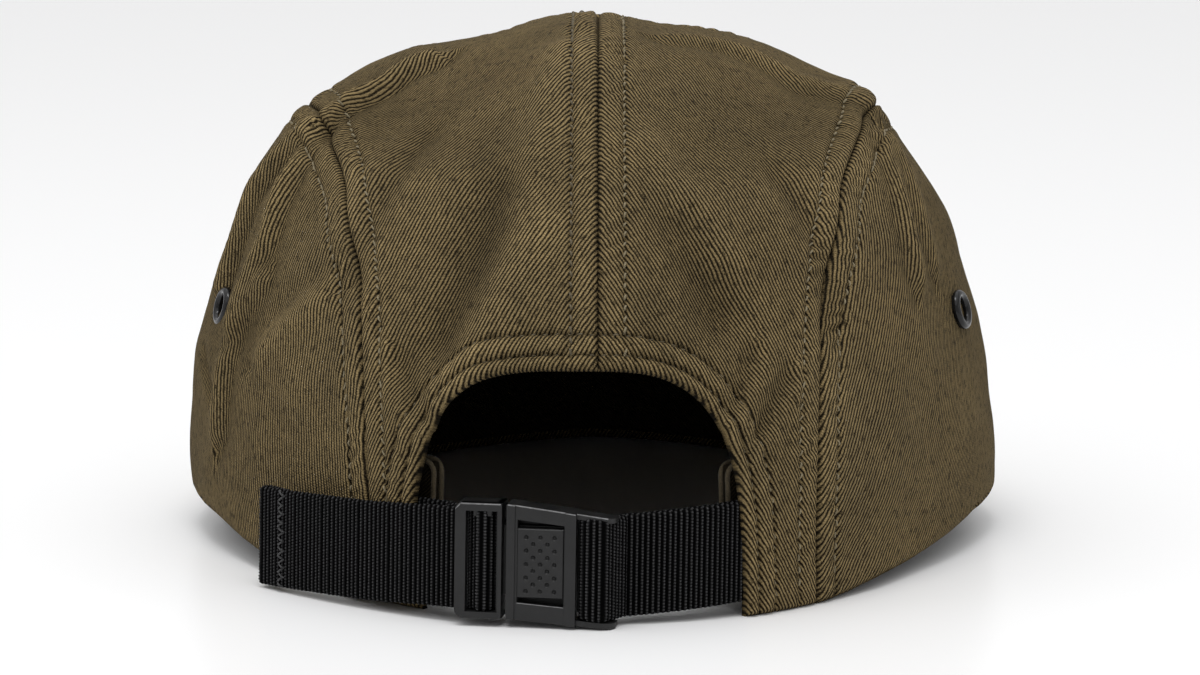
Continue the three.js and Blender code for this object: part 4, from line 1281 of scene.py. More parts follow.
def build_pad():
    """The pressing pad, with rows of three and two dimples."""
    left, right = WINDOW_LEFT + 0.1, WINDOW_RIGHT + 0.06
    bottom, top = BUCKLE_MIDDLE - PAD_HEIGHT / 2, BUCKLE_MIDDLE + PAD_HEIGHT / 2
    columns, rows = int((left - right) / PAD_STEP), int((top - bottom) / PAD_STEP)
    u, w = np.meshgrid(np.linspace(right, left, columns + 1), np.linspace(bottom, top, rows + 1))
    depth = np.full_like(u, -0.2)
    for row in range(DIMPLE_ROWS):
        height = top - 1.75 - row * 1.36
        spots = (-2.9, 0, 2.9) if row % 2 == 0 else (-1.45, 1.45)
        for spot in spots:
            away = np.hypot(u - (left + right) / 2 - spot, w - height)
            depth -= 0.5 * np.clip(1 - (away / 0.52) ** 2, 0, 1)
            depth += 0.06 * hump(away, 0.13, 0.62)
    edge = np.minimum(np.minimum(u - right, left - u), np.minimum(w - bottom, top - w))
    depth -= 0.3 * np.clip(1 - edge / 0.35, 0, 1) ** 2
    points = np.column_stack([u.ravel(), depth.ravel(), w.ravel()]).tolist()
    width = columns + 1
    faces = grid_faces(rows + 1, width)
    rim = [*range(width), *(j * width + columns for j in range(1, rows + 1))]
    rim += [*(rows * width + i for i in range(columns - 1, -1, -1))]
    rim += [*(j * width for j in range(rows - 1, 0, -1))]
    base = len(points)
    points += [(points[i][0], PAD_BACK, points[i][2]) for i in rim]
    for k in range(len(rim)):
        after = (k + 1) % len(rim)
        faces.append((rim[after], rim[k], base + k, base + after))
    faces.append(tuple(base + k for k in reversed(range(len(rim)))))
    placed = in_cap(np.array(points, float), 0.15)
    make_piece("buckle_pad", placed, [face[::-1] for face in faces], "black plastic")


def build_female():
    """The receiving half: a windowed face on a box, and two rails that hold a pin for the webbing."""
    window = rectangle(WINDOW_RIGHT, WINDOW_LEFT, BUCKLE_MIDDLE - 8, BUCKLE_MIDDLE + 8.75)
    around = rectangle(BAR_RIGHT, FEMALE_LEFT, BUCKLE_BOTTOM, BUCKLE_TOP, (0.3, 0.3, 0.3, 0.3))
    parts = [
        plate(around, [window], -0.28, -FACE_THICKNESS),
        block(FEMALE_LEFT, FEMALE_LEFT - 1.7, 0, -0.6),
        block(BAR_RIGHT + 2.2, BAR_RIGHT, 0.05, -0.6, BUCKLE_BOTTOM - 0.05, BUCKLE_TOP + 0.05),
        block(FEMALE_LEFT, BAR_RIGHT, -1, -BUCKLE_DEPTH, w1=BUCKLE_BOTTOM + FEMALE_WALL),
        block(FEMALE_LEFT, BAR_RIGHT, -1, -BUCKLE_DEPTH, w0=BUCKLE_TOP - FEMALE_WALL),
        block(FEMALE_LEFT, BAR_RIGHT, -4.6, -BUCKLE_DEPTH, BUCKLE_BOTTOM + 1, BUCKLE_TOP - 1),
    ]
    turns = np.linspace(math.pi / 2, math.pi, 7)
    nose = [(RAIL_RIGHT + RAIL_NOSE * (1 + math.cos(t)), RAIL_FRONT - RAIL_NOSE * (1 - math.sin(t)))
            for t in turns]
    rail_back = RAIL_FRONT - RAIL_DEPTH
    rail = [(BAR_RIGHT + 1, RAIL_FRONT), *nose, (RAIL_RIGHT, rail_back), (BAR_RIGHT + 1, rail_back)]
    for bottom in (BUCKLE_BOTTOM, BUCKLE_TOP - RAIL_THICKNESS):
        parts.append(on_end(plate(rail, [], bottom + RAIL_THICKNESS, bottom)))
    turns = np.linspace(0, 2 * math.pi, 24, endpoint=False)
    radius = PIN_SIZE / 2
    pin = [(PIN_CENTRE + radius * math.cos(t), PIN_DEPTH + radius * math.sin(t)) for t in turns]
    parts.append(on_end(plate(pin, [], BUCKLE_TOP - 0.5, BUCKLE_BOTTOM + 0.5)))
    plastic_piece("buckle_female_moulding", parts, "buckle_female", True)


def edge_strip(start, end, front, size=0.24):
    """A slim strip along an edge of the buckle's face, from one (u, w) to another."""
    (u0, w0), (u1, w1) = start, end
    return plate([(u1, w1 - size), (u0, w0 - size), (u0, w0), (u1, w1)], [], front + 0.03, front - 0.3)


def build_painted_edge_highlights():
    """Pale strips along the tops of both halves: painted highlights where their edges catch the light."""
    top = BUCKLE_TOP + 0.02
    sill = BUCKLE_MIDDLE - 8.02
    male = [
        edge_strip((MALE_LEFT - 1.1, top), (MALE_RIGHT + 0.2, top), 0),
        edge_strip((MALE_LEFT - 0.05, top - 1.1), (MALE_LEFT - 1.1, top), 0),
    ]
    female = [
        edge_strip((FEMALE_LEFT - 0.2, top), (FEMALE_LEFT - 1.7, top), 0),
        edge_strip((FEMALE_LEFT - 1.7, top), (BAR_RIGHT + 2.3, top), -0.26),
        edge_strip((BAR_RIGHT + 2.2, top), (BAR_RIGHT + 0.1, top), 0.05),
        edge_strip((BAR_RIGHT, top), (RAIL_RIGHT + 1.4, top), RAIL_FRONT),
        edge_strip((WINDOW_LEFT, sill), (WINDOW_RIGHT, sill), -0.26, 0.16),
    ]
    plastic_piece("buckle_male_edges", male, None, False, 0.06, "painted highlight plastic")
    plastic_piece("buckle_female_edges", female, None, True, 0.06, "painted highlight plastic")


# Eyelets: rolled rims, lathed
def eyelet_profile():
    """Radius and height of the rolled rim, its barrel and the back rim."""
    roll = 0.5 * (EYELET_RADIUS - EYELET_HOLE_RADIUS)
    middle = EYELET_RADIUS - roll
    profile = []
    for i in range(25):
        turn = -0.35 + (math.pi + 0.7) * i / 24
        rise = EYELET_SEAT + 0.35 + EYELET_RIM_HEIGHT * math.sin(turn)
        profile.append((middle + roll * math.cos(turn), rise))
    profile.append((EYELET_HOLE_RADIUS + 0.05, -WALL - 0.6))
    for i in range(9):
        turn = math.pi + math.pi * i / 8
        profile.append((EYELET_BACK_RADIUS + 0.7 * math.cos(turn), -WALL - 0.75 + 0.45 * math.sin(turn)))
    profile.append((EYELET_HOLE_RADIUS + 0.5, -WALL - 0.4))
    return profile


def build_eyelet(side):
    """An eyelet seated on the cloth of one side panel, facing out of it."""
    azimuth = math.radians(EYELET_AZIMUTHS[side])
    disc = disc_point(np.array([azimuth]), np.array([math.radians(EYELET_RISE)]))
    places, normals, _, _ = dressed_crown(disc)
    point, normal = places[0], normals[0]
    flat = np.cross(normal, (0, 0, 1))
    flat /= np.linalg.norm(flat)
    upward = np.cross(flat, normal)
    profile = eyelet_profile()
    points, faces = [], []
    for k in range(EYELET_SIDES):
        turn = 2 * math.pi * k / EYELET_SIDES
        spoke = flat * math.cos(turn) + upward * math.sin(turn)
        points.extend(point + spoke * radius + normal * height for radius, height in profile)
    count = len(profile)
    for k in range(EYELET_SIDES):
        here, after = k * count, ((k + 1) % EYELET_SIDES) * count
        for i in range(count):
            j = (i + 1) % count
            faces.append((here + i, here + j, after + j, after + i))
    make_piece(f"eyelet_{side}_rim", points, faces, "black enamel", [f"eyelet_{side}"])


# Sweatband and visor
def grid_faces(rows, columns, start=0):
    faces = []
    for i in range(rows - 1):
        for j in range(columns - 1):
            a = start + i * columns + j
            faces.append((a, a + 1, a + columns + 1, a + columns))
    return faces


def band_ends():
    """Where the band ends beside the opening, as azimuths."""
    left = opening_azimuth(OPENING_CENTRE + OPENING_HALF_WIDTH) - math.radians(0.4)
    right = opening_azimuth(OPENING_CENTRE - OPENING_HALF_WIDTH) + math.radians(0.4)
    return left, right


def cord(path, radius, sides=10):
    """A round cord along a path of points, closed at both ends."""
    path = np.asarray(path, float)
    along = np.gradient(path, axis=0)
    along /= np.linalg.norm(along, axis=1, keepdims=True)
    upward = np.array((0.11, 0.13, 0.98))
    beside = np.cross(along, upward)
    beside /= np.linalg.norm(beside, axis=1, keepdims=True)
    over = np.cross(beside, along)
    points = []
    for i, middle in enumerate(path):
        for k in range(sides):
            turn = 2 * math.pi * k / sides
            points.append(middle + radius * (beside[i] * math.cos(turn) + over[i] * math.sin(turn)))
    return points, tube_faces(len(path), sides)


def build_band_binding():
    """A folded edge round both ends of the band: up its end, over and along its top."""
    parts = []
    for end, inward in zip(band_ends(), (-1, 1)):
        for offset in (0, 1):
            depth = WALL + BAND_CLEARANCE + BAND_END_INSET + offset * (BAND_THICKNESS + 0.9)
            turns, heights = [], []
            corner_turn = 0.028
            straight = BAND_HEIGHT - BINDING_CORNER
            for height in np.linspace(3, straight, 18):
                turns.append(end)
                heights.append(height)
            for i in range(1, 9):
                bend = math.pi / 2 * i / 8
                turns.append(end + inward * corner_turn * (1 - math.cos(bend)))
                heights.append(straight + BINDING_CORNER * math.sin(bend))
            for i in range(1, 14):
                turns.append(end + inward * (corner_turn + 0.012 * i))
                heights.append(BAND_HEIGHT)
            turns, heights = np.array(turns), np.array(heights)
            place = rim_outset(turns, -(depth + heights * BAND_LEAN))
            path = np.column_stack([place, rim_lift(turns) + BAND_ABOVE_RIM + heights])
            parts.append(cord(path, BINDING_RADIUS))
    points, faces = joined(parts)
    make_piece("sweatband_binding", points, faces, "band binding")


def build_sweatband():
    """A folded band inside the rim, its cross-section carried round from one end to the other."""
    left, right = band_ends()
    shares = np.linspace(0, 1, 361)
    azimuth = left + (right - 2 * math.pi - left) * shares
    near_end = 1 - smoothstep(np.minimum(shares, 1 - shares), 0, BAND_EASE / 2)
    section = []
    for i in range(9):
        turn = math.pi * i / 8
        section.append((0.5 - 0.5 * math.cos(turn), BAND_HEIGHT - 0.8 + 0.8 * math.sin(turn)))
    for height in np.linspace(BAND_HEIGHT - 3, 3, 9):
        section.append((1, height))
    for i in range(9):
        turn = math.pi * i / 8
        section.append((0.5 + 0.5 * math.cos(turn), 0.8 - 0.8 * math.sin(turn)))
    for height in np.linspace(3, BAND_HEIGHT - 3, 9):
        section.append((0, height))
    points, weave = [], []
    for depth, height in section:
        inset = WALL + BAND_CLEARANCE + BAND_END_INSET * near_end
        inset = inset + depth * BAND_THICKNESS + height * BAND_LEAN
        place = rim_outset(azimuth, -inset)
        points.append(np.column_stack([place, rim_lift(azimuth) + BAND_ABOVE_RIM + height]))
        weave.append(np.column_stack([azimuth * 85, np.full_like(azimuth, height + depth * 40)]))
    columns = len(shares)
    points.append(points[0])
    weave.append(weave[0])
    faces = grid_faces(len(points), columns)
    ring = len(section)
    faces.append(tuple(i * columns for i in range(ring)))
    faces.append(tuple(i * columns + columns - 1 for i in reversed(range(ring))))
    points, weave = np.concatenate(points), np.concatenate(weave)
    make_piece("sweatband_cloth", points, faces, "band cotton", ["sweatband"], weave)


def visor_outline(share):
    """The visor's edge seen from above, from its right end at -1 to its left end at 1."""
    turn = share * math.pi / 2
    power = 2 / VISOR_SQUARENESS
    root_end = rim_outset(math.radians(-90 + VISOR_HALF_ANGLE), STRAP_GAP)
    front = CENTRE_Y - FRONT_REACH - VISOR_REACH
    return np.stack([
        VISOR_HALF_WIDTH * np.sign(turn) * np.abs(np.sin(turn)) ** power,
        root_end[1] + (front - root_end[1]) * np.maximum(0, np.cos(turn)) ** power,
    ], -1)


def visor_arch(place, share):
    """Height of the visor's middle layer, at places a share of the way out from its root."""
    arch = VISOR_ARCH + (VISOR_FRONT_ARCH - VISOR_ARCH) * share
    across = np.minimum(1, np.abs(place[:, 0]) / VISOR_HALF_WIDTH)
    return arch * (1 - across * across)


def build_visor():
    """Two cloth faces over a stiff core, a rolled edge and valleys under the stitch rows."""
    columns, rows = 301, 101
    share = np.linspace(-1, 1, columns)
    edge = visor_outline(share)
    root = rim_outset(np.radians(-90 + share * VISOR_HALF_ANGLE), np.full(columns, -WALL / 2))
    reach = np.linalg.norm(edge - root, axis=1)
    outward = (edge - root) / reach[:, None]
    points, weave = [], []
    for sign in (1, -1):
        for i in np.linspace(0, 1, rows):
            place = root + (edge - root) * i
            from_edge = (1 - i) * reach
            rolled = np.clip(from_edge / 1.6, 0, 1)
            bulge = VISOR_THICKNESS / 2 * np.sqrt(np.clip(1 - (1 - rolled) ** 2, 0, 1))
            for row in VISOR_ROWS:
                bulge = bulge - 0.22 * hump(from_edge, 0.6, row)
            height = visor_arch(place, i) + VISOR_THICKNESS / 2 + sign * np.maximum(bulge, 0)
            points.append(np.column_stack([place, height]))
            wrapped = np.maximum(0, VISOR_THICKNESS / 2 - bulge) * (from_edge < 2)
            weave.append(place + outward * wrapped[:, None])
    half = rows * columns
    faces = [face[::-1] for face in grid_faces(rows, columns)] + grid_faces(rows, columns, half)
    for j in range(columns - 1):
        faces.append((j, j + 1, half + j + 1, half + j))
    points, weave = np.concatenate(points), np.concatenate(weave)
    make_piece("visor_cloth", points, faces, "visor twill", ["visor"], weave)


def build_visor_stitches():
    """Rows of thread that follow the visor's edge."""
    share = np.linspace(-1, 1, 900)
    edge = visor_outline(share)
    root = rim_outset(np.radians(-90 + share * VISOR_HALF_ANGLE), np.full(len(share), STRAP_GAP))
    reach = np.linalg.norm(edge - root, axis=1)
    parts = []
    for row in VISOR_ROWS:
        inward = np.clip(row / np.maximum(reach, 1e-6), 0, 1)
        kept = inward < 0.93
        i = 1 - inward[kept]
        place = root[kept] + (edge[kept] - root[kept]) * i[:, None]
        line = np.column_stack([place, visor_arch(place, i) + VISOR_THICKNESS - 0.16])
        run = np.concatenate([[0], np.cumsum(np.linalg.norm(np.diff(line, axis=0), axis=1))])
        for k in range(int(run[-1] / VISOR_STITCH_PITCH)):
            at = (k + np.array([0.16, 0.42, 0.68])) * VISOR_STITCH_PITCH
            spine = np.stack([np.interp(at, run, line[:, j]) for j in range(3)], -1)
            along = spine[2] - spine[0]
            along /= np.linalg.norm(along)
            beside = np.cross((0, 0, 1), along)
            points = []
            for spot, size, drop in zip(spine, (0.1, 0.21, 0.1), (0.16, 0, 0.16)):
                for side in range(THREAD_SIDES):
                    turn = 2 * math.pi * side / THREAD_SIDES
                    upward = np.array((0, 0, size * math.sin(turn) - drop))
                    points.append(spot + beside * size * math.cos(turn) + upward)
            parts.append((points, tube_faces(3, THREAD_SIDES)))
    points, faces = joined(parts)
    make_piece("visor_stitches", points, faces, "olive thread")


# Finishes
def new_group(name, inputs, outputs):
    group = bpy.data.node_groups.new(name, "ShaderNodeTree")
    for label, kind, value in inputs:
        socket = group.interface.new_socket(label, in_out="INPUT", socket_type=kind)
        if value is not None:
            socket.default_value = value
    for label, kind in outputs:
        group.interface.new_socket(label, in_out="OUTPUT", socket_type=kind)
    entry = group.nodes.new("NodeGroupInput")
    leave = group.nodes.new("NodeGroupOutput")
    return group, entry, leave


class Wiring:
    """Short ways to place nodes in one tree."""

    def __init__(self, tree):
        self.tree = tree

    def node(self, kind, **settings):
        made = self.tree.nodes.new(kind)
        for key, value in settings.items():
            setattr(made, key, value)
        return made

    def feed(self, socket, value):
        if isinstance(value, bpy.types.NodeSocket):
            self.tree.links.new(value, socket)
        elif value is not None:
            socket.default_value = value

    def math(self, operation, a, b=None, c=None):
        made = self.node("ShaderNodeMath", operation=operation)
        for socket, value in zip(made.inputs, (a, b, c)):
            self.feed(socket, value)
        return made.outputs[0]

    def noise(self, vector, scale, detail=2.0, roughness=0.5):
        made = self.node("ShaderNodeTexNoise")
        self.feed(made.inputs["Vector"], vector)
        made.inputs["Scale"].default_value = scale
        made.inputs["Detail"].default_value = detail
        made.inputs["Roughness"].default_value = roughness
        return made.outputs["Fac"]

    def blend(self, factor, low, high):
        made = self.node("ShaderNodeMix", data_type="RGBA")
        self.feed(made.inputs["Factor"], factor)
        self.feed(made.inputs["A"], low)
        self.feed(made.inputs["B"], high)
        return made.outputs["Result"]

    def tinted(self, colour, tint):
        made = self.node("ShaderNodeMix", data_type="RGBA", blend_type="MULTIPLY")
        made.inputs["Factor"].default_value = 1.0
        self.feed(made.inputs["A"], colour)
        self.feed(made.inputs["B"], tint)
        return made.outputs["Result"]

    def spread(self, value, low, high, to_low=0.0, to_high=1.0):
        made = self.node("ShaderNodeMapRange")
        self.feed(made.inputs["Value"], value)
        made.inputs["From Min"].default_value = low
        made.inputs["From Max"].default_value = high
        made.inputs["To Min"].default_value = to_low
        made.inputs["To Max"].default_value = to_high
        return made.outputs["Result"]


def make_twill_group():
    """Slanted wales of thread on the cloth's own flat place, with their height and shade."""
    group, entry, leave = new_group(
        "Twill Weave",
        [("Place", "NodeSocketVector", None), ("Pitch", "NodeSocketFloat", 0.0011),
         ("Slant", "NodeSocketFloat", 0.8), ("Wander", "NodeSocketFloat", 0.00034)],
        [("Height", "NodeSocketFloat"), ("Shade", "NodeSocketFloat"), ("Wear", "NodeSocketFloat")],
    )
    wire = Wiring(group)
    place = entry.outputs["Place"]
    split = wire.node("ShaderNodeSeparateXYZ")
    wire.feed(split.inputs[0], place)
    cosine = wire.math("COSINE", entry.outputs["Slant"])
    sine = wire.math("SINE", entry.outputs["Slant"])
    across = wire.math("SUBTRACT", wire.math("MULTIPLY", split.outputs[0], sine),
                       wire.math("MULTIPLY", split.outputs[1], cosine))
    along = wire.math("ADD", wire.math("MULTIPLY", split.outputs[0], cosine),
                      wire.math("MULTIPLY", split.outputs[1], sine))
    slow = wire.math("SUBTRACT", wire.noise(place, 70, 1.0), 0.5)
    quick = wire.math("SUBTRACT", wire.noise(place, 700, 2.0), 0.5)
    far_wander = wire.math("MULTIPLY", entry.outputs["Wander"], 4.0)
    moved = wire.math("ADD", across, wire.math("MULTIPLY", slow, far_wander))
    moved = wire.math("ADD", moved, wire.math("MULTIPLY", quick, entry.outputs["Wander"]))
    turns = wire.math("DIVIDE", moved, entry.outputs["Pitch"])
    wave = wire.math("SINE", wire.math("MULTIPLY", turns, 2 * math.pi))
    wale = wire.math("MULTIPLY_ADD", wave, 0.5, 0.5)
    thread_turns = wire.math("DIVIDE", along, THREAD_PITCH * MM)
    thread_turns = wire.math("ADD", thread_turns, wire.math("MULTIPLY", turns, 0.5))
    thread = wire.math("SINE", wire.math("MULTIPLY", thread_turns, 2 * math.pi))
    thread = wire.math("MULTIPLY_ADD", thread, 0.5, 0.5)
    stretched = wire.node("ShaderNodeCombineXYZ")
    wire.feed(stretched.inputs[0], across)
    wire.feed(stretched.inputs[1], wire.math("MULTIPLY", along, 0.35))
    broken = wire.noise(stretched.outputs[0], 1300, 3.0, 0.6)
    crest = wire.spread(wale, 0.14, 0.86)
    height = wire.math("MULTIPLY", crest, wire.math("MULTIPLY_ADD", thread, 0.45, 0.55))
    height = wire.math("MULTIPLY", height, wire.spread(broken, 0.32, 0.68, 0.15, 1.5))
    fuzz = wire.noise(place, 2600, 2.0, 0.7)
    height = wire.math("MULTIPLY_ADD", fuzz, 0.3, height)
    wire.feed(leave.inputs["Height"], height)
    shade = wire.math("ADD", wire.math("MULTIPLY", height, 0.8), wire.math("MULTIPLY", fuzz, 0.2))
    wire.feed(leave.inputs["Shade"], shade)
    wear = wire.math("ADD", wire.math("MULTIPLY", wire.noise(place, 34, 4.0, 0.6), 0.6),
                     wire.math("MULTIPLY", wire.noise(place, 210, 3.0, 0.6), 0.4))
    wire.feed(leave.inputs["Wear"], wear)
    return group


def new_material(name, roughness, **constants):
    """A material with constants set on its shader, with the shader and ways to wire it."""
    material = bpy.data.materials.new(name)
    material.use_nodes = True
    shader = material.node_tree.nodes["Principled BSDF"]
    shader.inputs["Roughness"].default_value = roughness
    for label, value in constants.items():
        shader.inputs[label.replace("_", " ")].default_value = value
    return material, shader, Wiring(material.node_tree)


def weave_place(wire):
    made = wire.node("ShaderNodeUVMap", uv_map="weave")
    return made.outputs[0]


def bumped(wire, shader, height, strength, distance):
    bump = wire.node("ShaderNodeBump")
    bump.inputs["Strength"].default_value = strength
    bump.inputs["Distance"].default_value = distance
    wire.feed(bump.inputs["Height"], height)
    wire.feed(shader.inputs["Normal"], bump.outputs["Normal"])


def twill_material(name, group, slant, pitch, dark, pale, strength=1.0, painted_crease_shade=False):
    """Twill whose lines slant by some degrees; when asked, light is painted on the cloth's fold and seam
    ridges and shade in their grooves.
    """
    material, shader, wire = new_material(name, 0.95, Specular_IOR_Level=0.1)
    weave = wire.node("ShaderNodeGroup", node_tree=group)
    wire.feed(weave.inputs["Place"], weave_place(wire))
    weave.inputs["Pitch"].default_value = pitch
    weave.inputs["Slant"].default_value = math.radians(slant)
    cloth = wire.blend(wire.spread(weave.outputs["Shade"], 0.22, 0.66), dark, pale)
    worn = wire.spread(weave.outputs["Wear"], 0.35, 0.65)
    cloth = wire.tinted(cloth, wire.blend(worn, (0.8, 0.8, 0.8, 1), (1.22, 1.2, 1.16, 1)))
    if painted_crease_shade:
        # Painted light and shade: the crest attribute makes fold and seam ridges paler and their grooves
        # darker.
        raised = wire.node("ShaderNodeAttribute", attribute_name="crest", attribute_type="GEOMETRY")
        shade = wire.blend(raised.outputs["Fac"], (0.42, 0.41, 0.39, 1), (1.58, 1.59, 1.61, 1))
        cloth = wire.tinted(cloth, shade)
    wire.feed(shader.inputs["Base Color"], cloth)
    bumped(wire, shader, weave.outputs["Height"], strength, 0.00045)
    return material


def cord_material(name, dark, pale, roughness, scale):
    material, shader, wire = new_material(name, roughness, Sheen_Weight=0.1)
    place = wire.node("ShaderNodeTexCoord").outputs["Object"]
    fleck = wire.noise(place, scale, 3.0, 0.7)
    wire.feed(shader.inputs["Base Color"], wire.blend(wire.spread(fleck, 0.35, 0.65), dark, pale))
    bumped(wire, shader, fleck, 0.6, 0.0002)
    return material


def make_rib_group():
    """Ribs across a webbing with a row of knuckles on each, from its place along and up; the knuckles give
    both the bump and the painted highlights.
    """
    group, entry, leave = new_group(
        "Webbing Ribs",
        [("Place", "NodeSocketVector", None), ("Rib Pitch", "NodeSocketFloat", RIB_PITCH * MM),
         ("Grain Pitch", "NodeSocketFloat", GRAIN_PITCH * MM)],
        [("Knuckles", "NodeSocketFloat"), ("Fleck", "NodeSocketFloat")],
    )
    wire = Wiring(group)
    split = wire.node("ShaderNodeSeparateXYZ")
    wire.feed(split.inputs[0], entry.outputs["Place"])
    turns = wire.math("DIVIDE", split.outputs[0], entry.outputs["Rib Pitch"])
    rib = wire.math("ABSOLUTE", wire.math("SINE", wire.math("MULTIPLY", turns, math.pi)))
    rib = wire.math("POWER", rib, 6.0)
    row = wire.math("DIVIDE", split.outputs[1], entry.outputs["Grain Pitch"])
    row = wire.math("ADD", row, wire.math("MULTIPLY", wire.math("FLOOR", turns), 0.5))
    grain = wire.math("POWER", wire.math("SINE", wire.math("MULTIPLY", row, math.pi)), 2.0)
    fleck = wire.noise(entry.outputs["Place"], 3000, 3.0, 0.7)
    knuckles = wire.math("MULTIPLY", rib, wire.math("MULTIPLY_ADD", grain, 0.88, 0.12))
    # Random flecks vary the knuckles' bump and painted highlight.
    worn = wire.spread(fleck, 0.3, 0.7, 0.3, 1.5)
    wire.feed(leave.inputs["Knuckles"], wire.math("MULTIPLY", knuckles, worn))
    wire.feed(leave.inputs["Fleck"], fleck)
    return group


def webbing_material():
    material, shader, wire = new_material("black webbing", 0.5, Specular_IOR_Level=0.02)
    ribs = wire.node("ShaderNodeGroup", node_tree=make_rib_group())
    wire.feed(ribs.inputs["Place"], weave_place(wire))
    # Painted highlight: the pale colour on the knuckles stands for light caught by the ribs' fibres; the
    # dark is the webbing's own black.
    dark, pale = (0.0006, 0.0006, 0.0007, 1), (0.085, 0.085, 0.087, 1)
    wire.feed(shader.inputs["Base Color"], wire.blend(ribs.outputs["Knuckles"], dark, pale))
    wire.feed(shader.inputs["Roughness"], wire.spread(ribs.outputs["Fleck"], 0.3, 0.7, 0.45, 0.75))
    height = wire.math("MULTIPLY_ADD", ribs.outputs["Fleck"], 0.5, ribs.outputs["Knuckles"])
    bumped(wire, shader, height, 0.8, 0.00022)
    return material


def plastic_material():
    material, shader, wire = new_material("black plastic", 0.36, Specular_IOR_Level=0.42)
    place = wire.node("ShaderNodeTexCoord").outputs["Object"]
    grain = wire.noise(place, 5200, 3.0, 0.7)
    cloud = wire.noise(place, 260, 3.0, 0.6)
    dark, pale = (0.0065, 0.0065, 0.0067, 1), (0.0105, 0.0105, 0.0108, 1)
    wire.feed(shader.inputs["Base Color"], wire.blend(wire.spread(cloud, 0.35, 0.65), dark, pale))
    wire.feed(shader.inputs["Roughness"], wire.spread(cloud, 0.3, 0.7, 0.38, 0.5))
    bumped(wire, shader, grain, 0.35, 0.00008)
    return material


def enamel_material():
    material, shader, wire = new_material("black enamel", 0.14, Specular_IOR_Level=0.3)
    place = wire.node("ShaderNodeTexCoord").outputs["Object"]
    cloud = wire.noise(place, 700, 3.0, 0.6)
    dark, pale = (0.004, 0.004, 0.0045, 1), (0.009, 0.009, 0.0095, 1)
    wire.feed(shader.inputs["Base Color"], wire.blend(wire.spread(cloud, 0.35, 0.65), dark, pale))
    wire.feed(shader.inputs["Roughness"], wire.spread(cloud, 0.3, 0.7, 0.1, 0.2))
    return material


# Cloths: the slant of their lines in degrees, the lines' pitch in metres, and the colours in and on them
OLIVE = {"dark": (0.006, 0.0042, 0.0018, 1), "pale": (0.262, 0.194, 0.094, 1)}
BAND_OLIVE = {"dark": (0.008, 0.006, 0.0035, 1), "pale": (0.03, 0.023, 0.012, 1)}
CLOTHS = {
    # The back and side cloths get painted light on their fold and seam ridges and painted shade in their
    # grooves.
    "back twill left": {"slant": 125, "pitch": 0.00084, "painted_crease_shade": True, **OLIVE},
    "back twill right": {"slant": 55, "pitch": 0.00084, "painted_crease_shade": True, **OLIVE},
    "side twill left": {"slant": 103, "pitch": 0.0008, "painted_crease_shade": True, **OLIVE},
    "side twill right": {"slant": 50, "pitch": 0.0008, "painted_crease_shade": True, **OLIVE},
    "visor twill": {"slant": 45, "pitch": 0.00112, **OLIVE},
    "band cotton": {"slant": 45, "pitch": 0.0006, "strength": 0.6, **BAND_OLIVE},
}

# Threads, cords and the painted highlights on the plastic's edges: flecks of two colours, their roughness
# and fineness
CORDS = {
    "pale thread": {
        "dark": (0.13, 0.105, 0.055, 1), "pale": (0.27, 0.22, 0.125, 1), "roughness": 0.7, "scale": 4200,
    },
    "olive thread": {
        "dark": (0.06, 0.046, 0.023, 1), "pale": (0.15, 0.118, 0.062, 1), "roughness": 0.75, "scale": 4200,
    },
    "band binding": {
        "dark": (0.045, 0.034, 0.018, 1), "pale": (0.11, 0.084, 0.046, 1), "roughness": 0.9, "scale": 2600,
    },
    "webbing thread": {
        "dark": (0.006, 0.006, 0.006, 1), "pale": (0.06, 0.06, 0.062, 1), "roughness": 0.7, "scale": 3400,
    },
    # Painted highlight: the pale colour of the strips along the buckle's top edges stands for light caught
    # by those edges.
    "painted highlight plastic": {
        "dark": (0.1, 0.1, 0.102, 1), "pale": (0.22, 0.22, 0.223, 1), "roughness": 0.5, "scale": 900,
    },
}


def make_materials():
    twill = make_twill_group()
    made = {
        "black webbing": webbing_material(),
        "black plastic": plastic_material(),
        "black enamel": enamel_material(),
    }
    for name, cloth in CLOTHS.items():
        made[name] = twill_material(name, twill, **cloth)
    for name, fibre in CORDS.items():
        made[name] = cord_material(name, **fibre)
    return made


# Studio: softboxes by place and size in metres and power in watts, all turned to one place on the cap
ROOM_LIGHT = 0.58
SUN_STRENGTH = 1.25
SUN_SPREAD = 95
SUN_FROM = (0.12, 0.05, 1)
LIT_PLACE = (0, 0.03, 0.05)
SOFTBOXES = (
    ("top softbox", (0.1, 0.28, 1.25), (0.6, 0.32), 4.4),
    ("left softbox", (1.3, 0.5, 0.5), (0.5, 0.9), 0.8),
    ("right softbox", (-1.3, 0.5, 0.5), (0.5, 0.9), 0.8),
)

# Camera: its sensor in mm, its focal length in pixels of the photograph, its height in degrees
SENSOR_WIDTH = 36
LENS_PIXELS = 4525
PHOTO_WIDTH = 1200
CAMERA_ELEVATION = 9.5
CAMERA_DISTANCE = 1.0
CAMERA_AIM_X = -0.0014
CAMERA_AIM_Z = 0.043


def build_floor():
    material, shader, _ = new_material("pale table", 0.3, Specular_IOR_Level=0.3)
    shader.inputs["Base Color"].default_value = (0.95, 0.95, 0.955, 1)
    reach = 30.0
    corners = [(-reach, -reach, 0), (reach, -reach, 0), (reach, reach, 0), (-reach, reach, 0)]
    mesh = bpy.data.meshes.new("table")
    mesh.from_pydata(corners, [], [(0, 1, 2, 3)])
    mesh.materials.append(material)
    made = bpy.data.objects.new("table", mesh)
    bpy.context.scene.collection.objects.link(made)


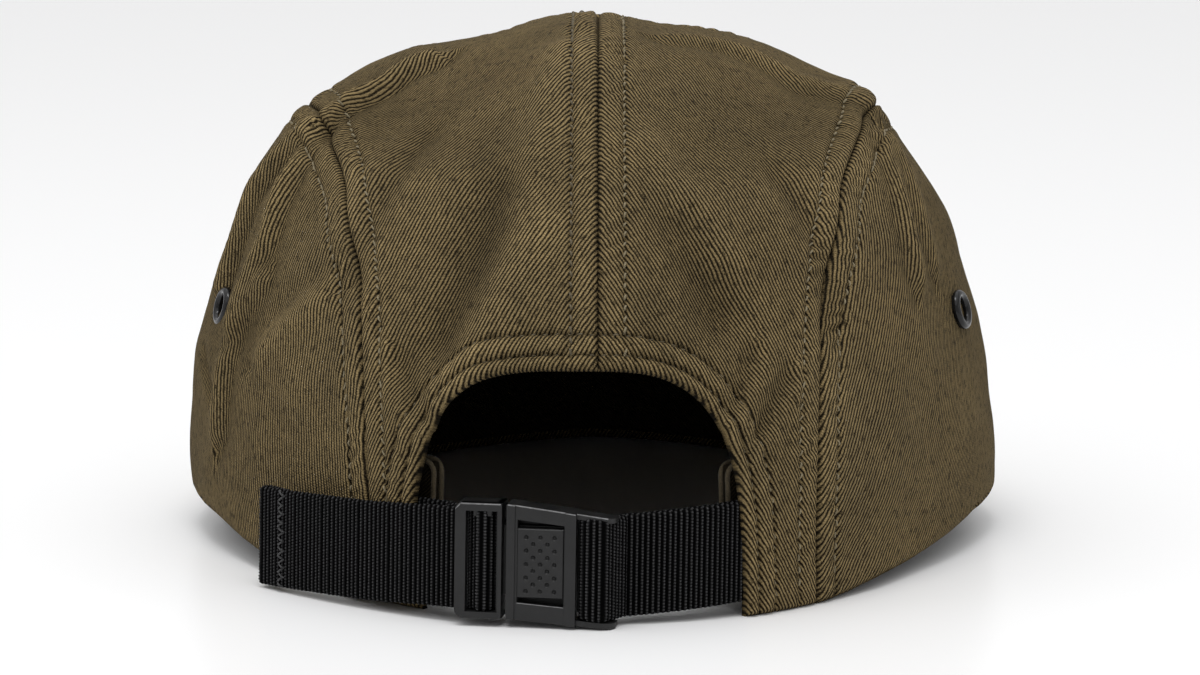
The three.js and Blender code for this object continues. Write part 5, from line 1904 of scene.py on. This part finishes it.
def area_light(name, place, size, power):
    """A soft box that faces the middle of the cap and doesn't show in the picture."""
    light = bpy.data.lights.new(name, "AREA")
    light.shape = "RECTANGLE"
    light.size, light.size_y = size
    light.energy = power
    made = bpy.data.objects.new(name, light)
    bpy.context.scene.collection.objects.link(made)
    made.location = place
    direction = Vector(LIT_PLACE) - Vector(place)
    made.rotation_euler = direction.to_track_quat("-Z", "Y").to_euler()
    made.visible_camera = False


def build_lights():
    bpy.context.scene.view_settings.view_transform = "Standard"
    world = bpy.data.worlds.new("studio")
    bpy.context.scene.world = world
    world.use_nodes = True
    room = world.node_tree.nodes["Background"]
    room.inputs["Color"].default_value = (1, 1, 1, 1)
    room.inputs["Strength"].default_value = ROOM_LIGHT
    sun = bpy.data.lights.new("overhead light", "SUN")
    sun.energy = SUN_STRENGTH
    sun.angle = math.radians(SUN_SPREAD)
    made = bpy.data.objects.new("overhead light", sun)
    bpy.context.scene.collection.objects.link(made)
    made.rotation_euler = Vector(SUN_FROM).to_track_quat("Z", "Y").to_euler()
    for softbox in SOFTBOXES:
        area_light(*softbox)


def build_camera():
    """Stands behind the cap at the photograph's angle."""
    camera = bpy.data.cameras.new("camera")
    camera.sensor_width = SENSOR_WIDTH
    camera.lens = SENSOR_WIDTH * LENS_PIXELS / PHOTO_WIDTH
    made = bpy.data.objects.new("camera", camera)
    bpy.context.scene.collection.objects.link(made)
    aim = Vector((CAMERA_AIM_X, CAP_SHIFT * MM, CAMERA_AIM_Z))
    elevation = math.radians(CAMERA_ELEVATION)
    away = Vector((0, math.cos(elevation), math.sin(elevation)))
    made.location = aim + away * CAMERA_DISTANCE
    made.rotation_euler = (-away).to_track_quat("-Z", "Y").to_euler()
    bpy.context.scene.camera = made


MATERIALS = make_materials()
for panel in PANELS:
    build_panel(panel)
build_stitches()
build_visor()
build_visor_stitches()
build_sweatband()
build_band_binding()
build_eyelet("left")
build_eyelet("right")
webbing("adjuster_webbing", adjuster_path(), "adjuster_strap", False)
webbing("anchor_webbing", anchor_path(), "anchor_strap", True)
build_male()
build_female()
build_pad()
build_painted_edge_highlights()
build_tail_stitches()
build_floor()
build_lights()
build_camera()
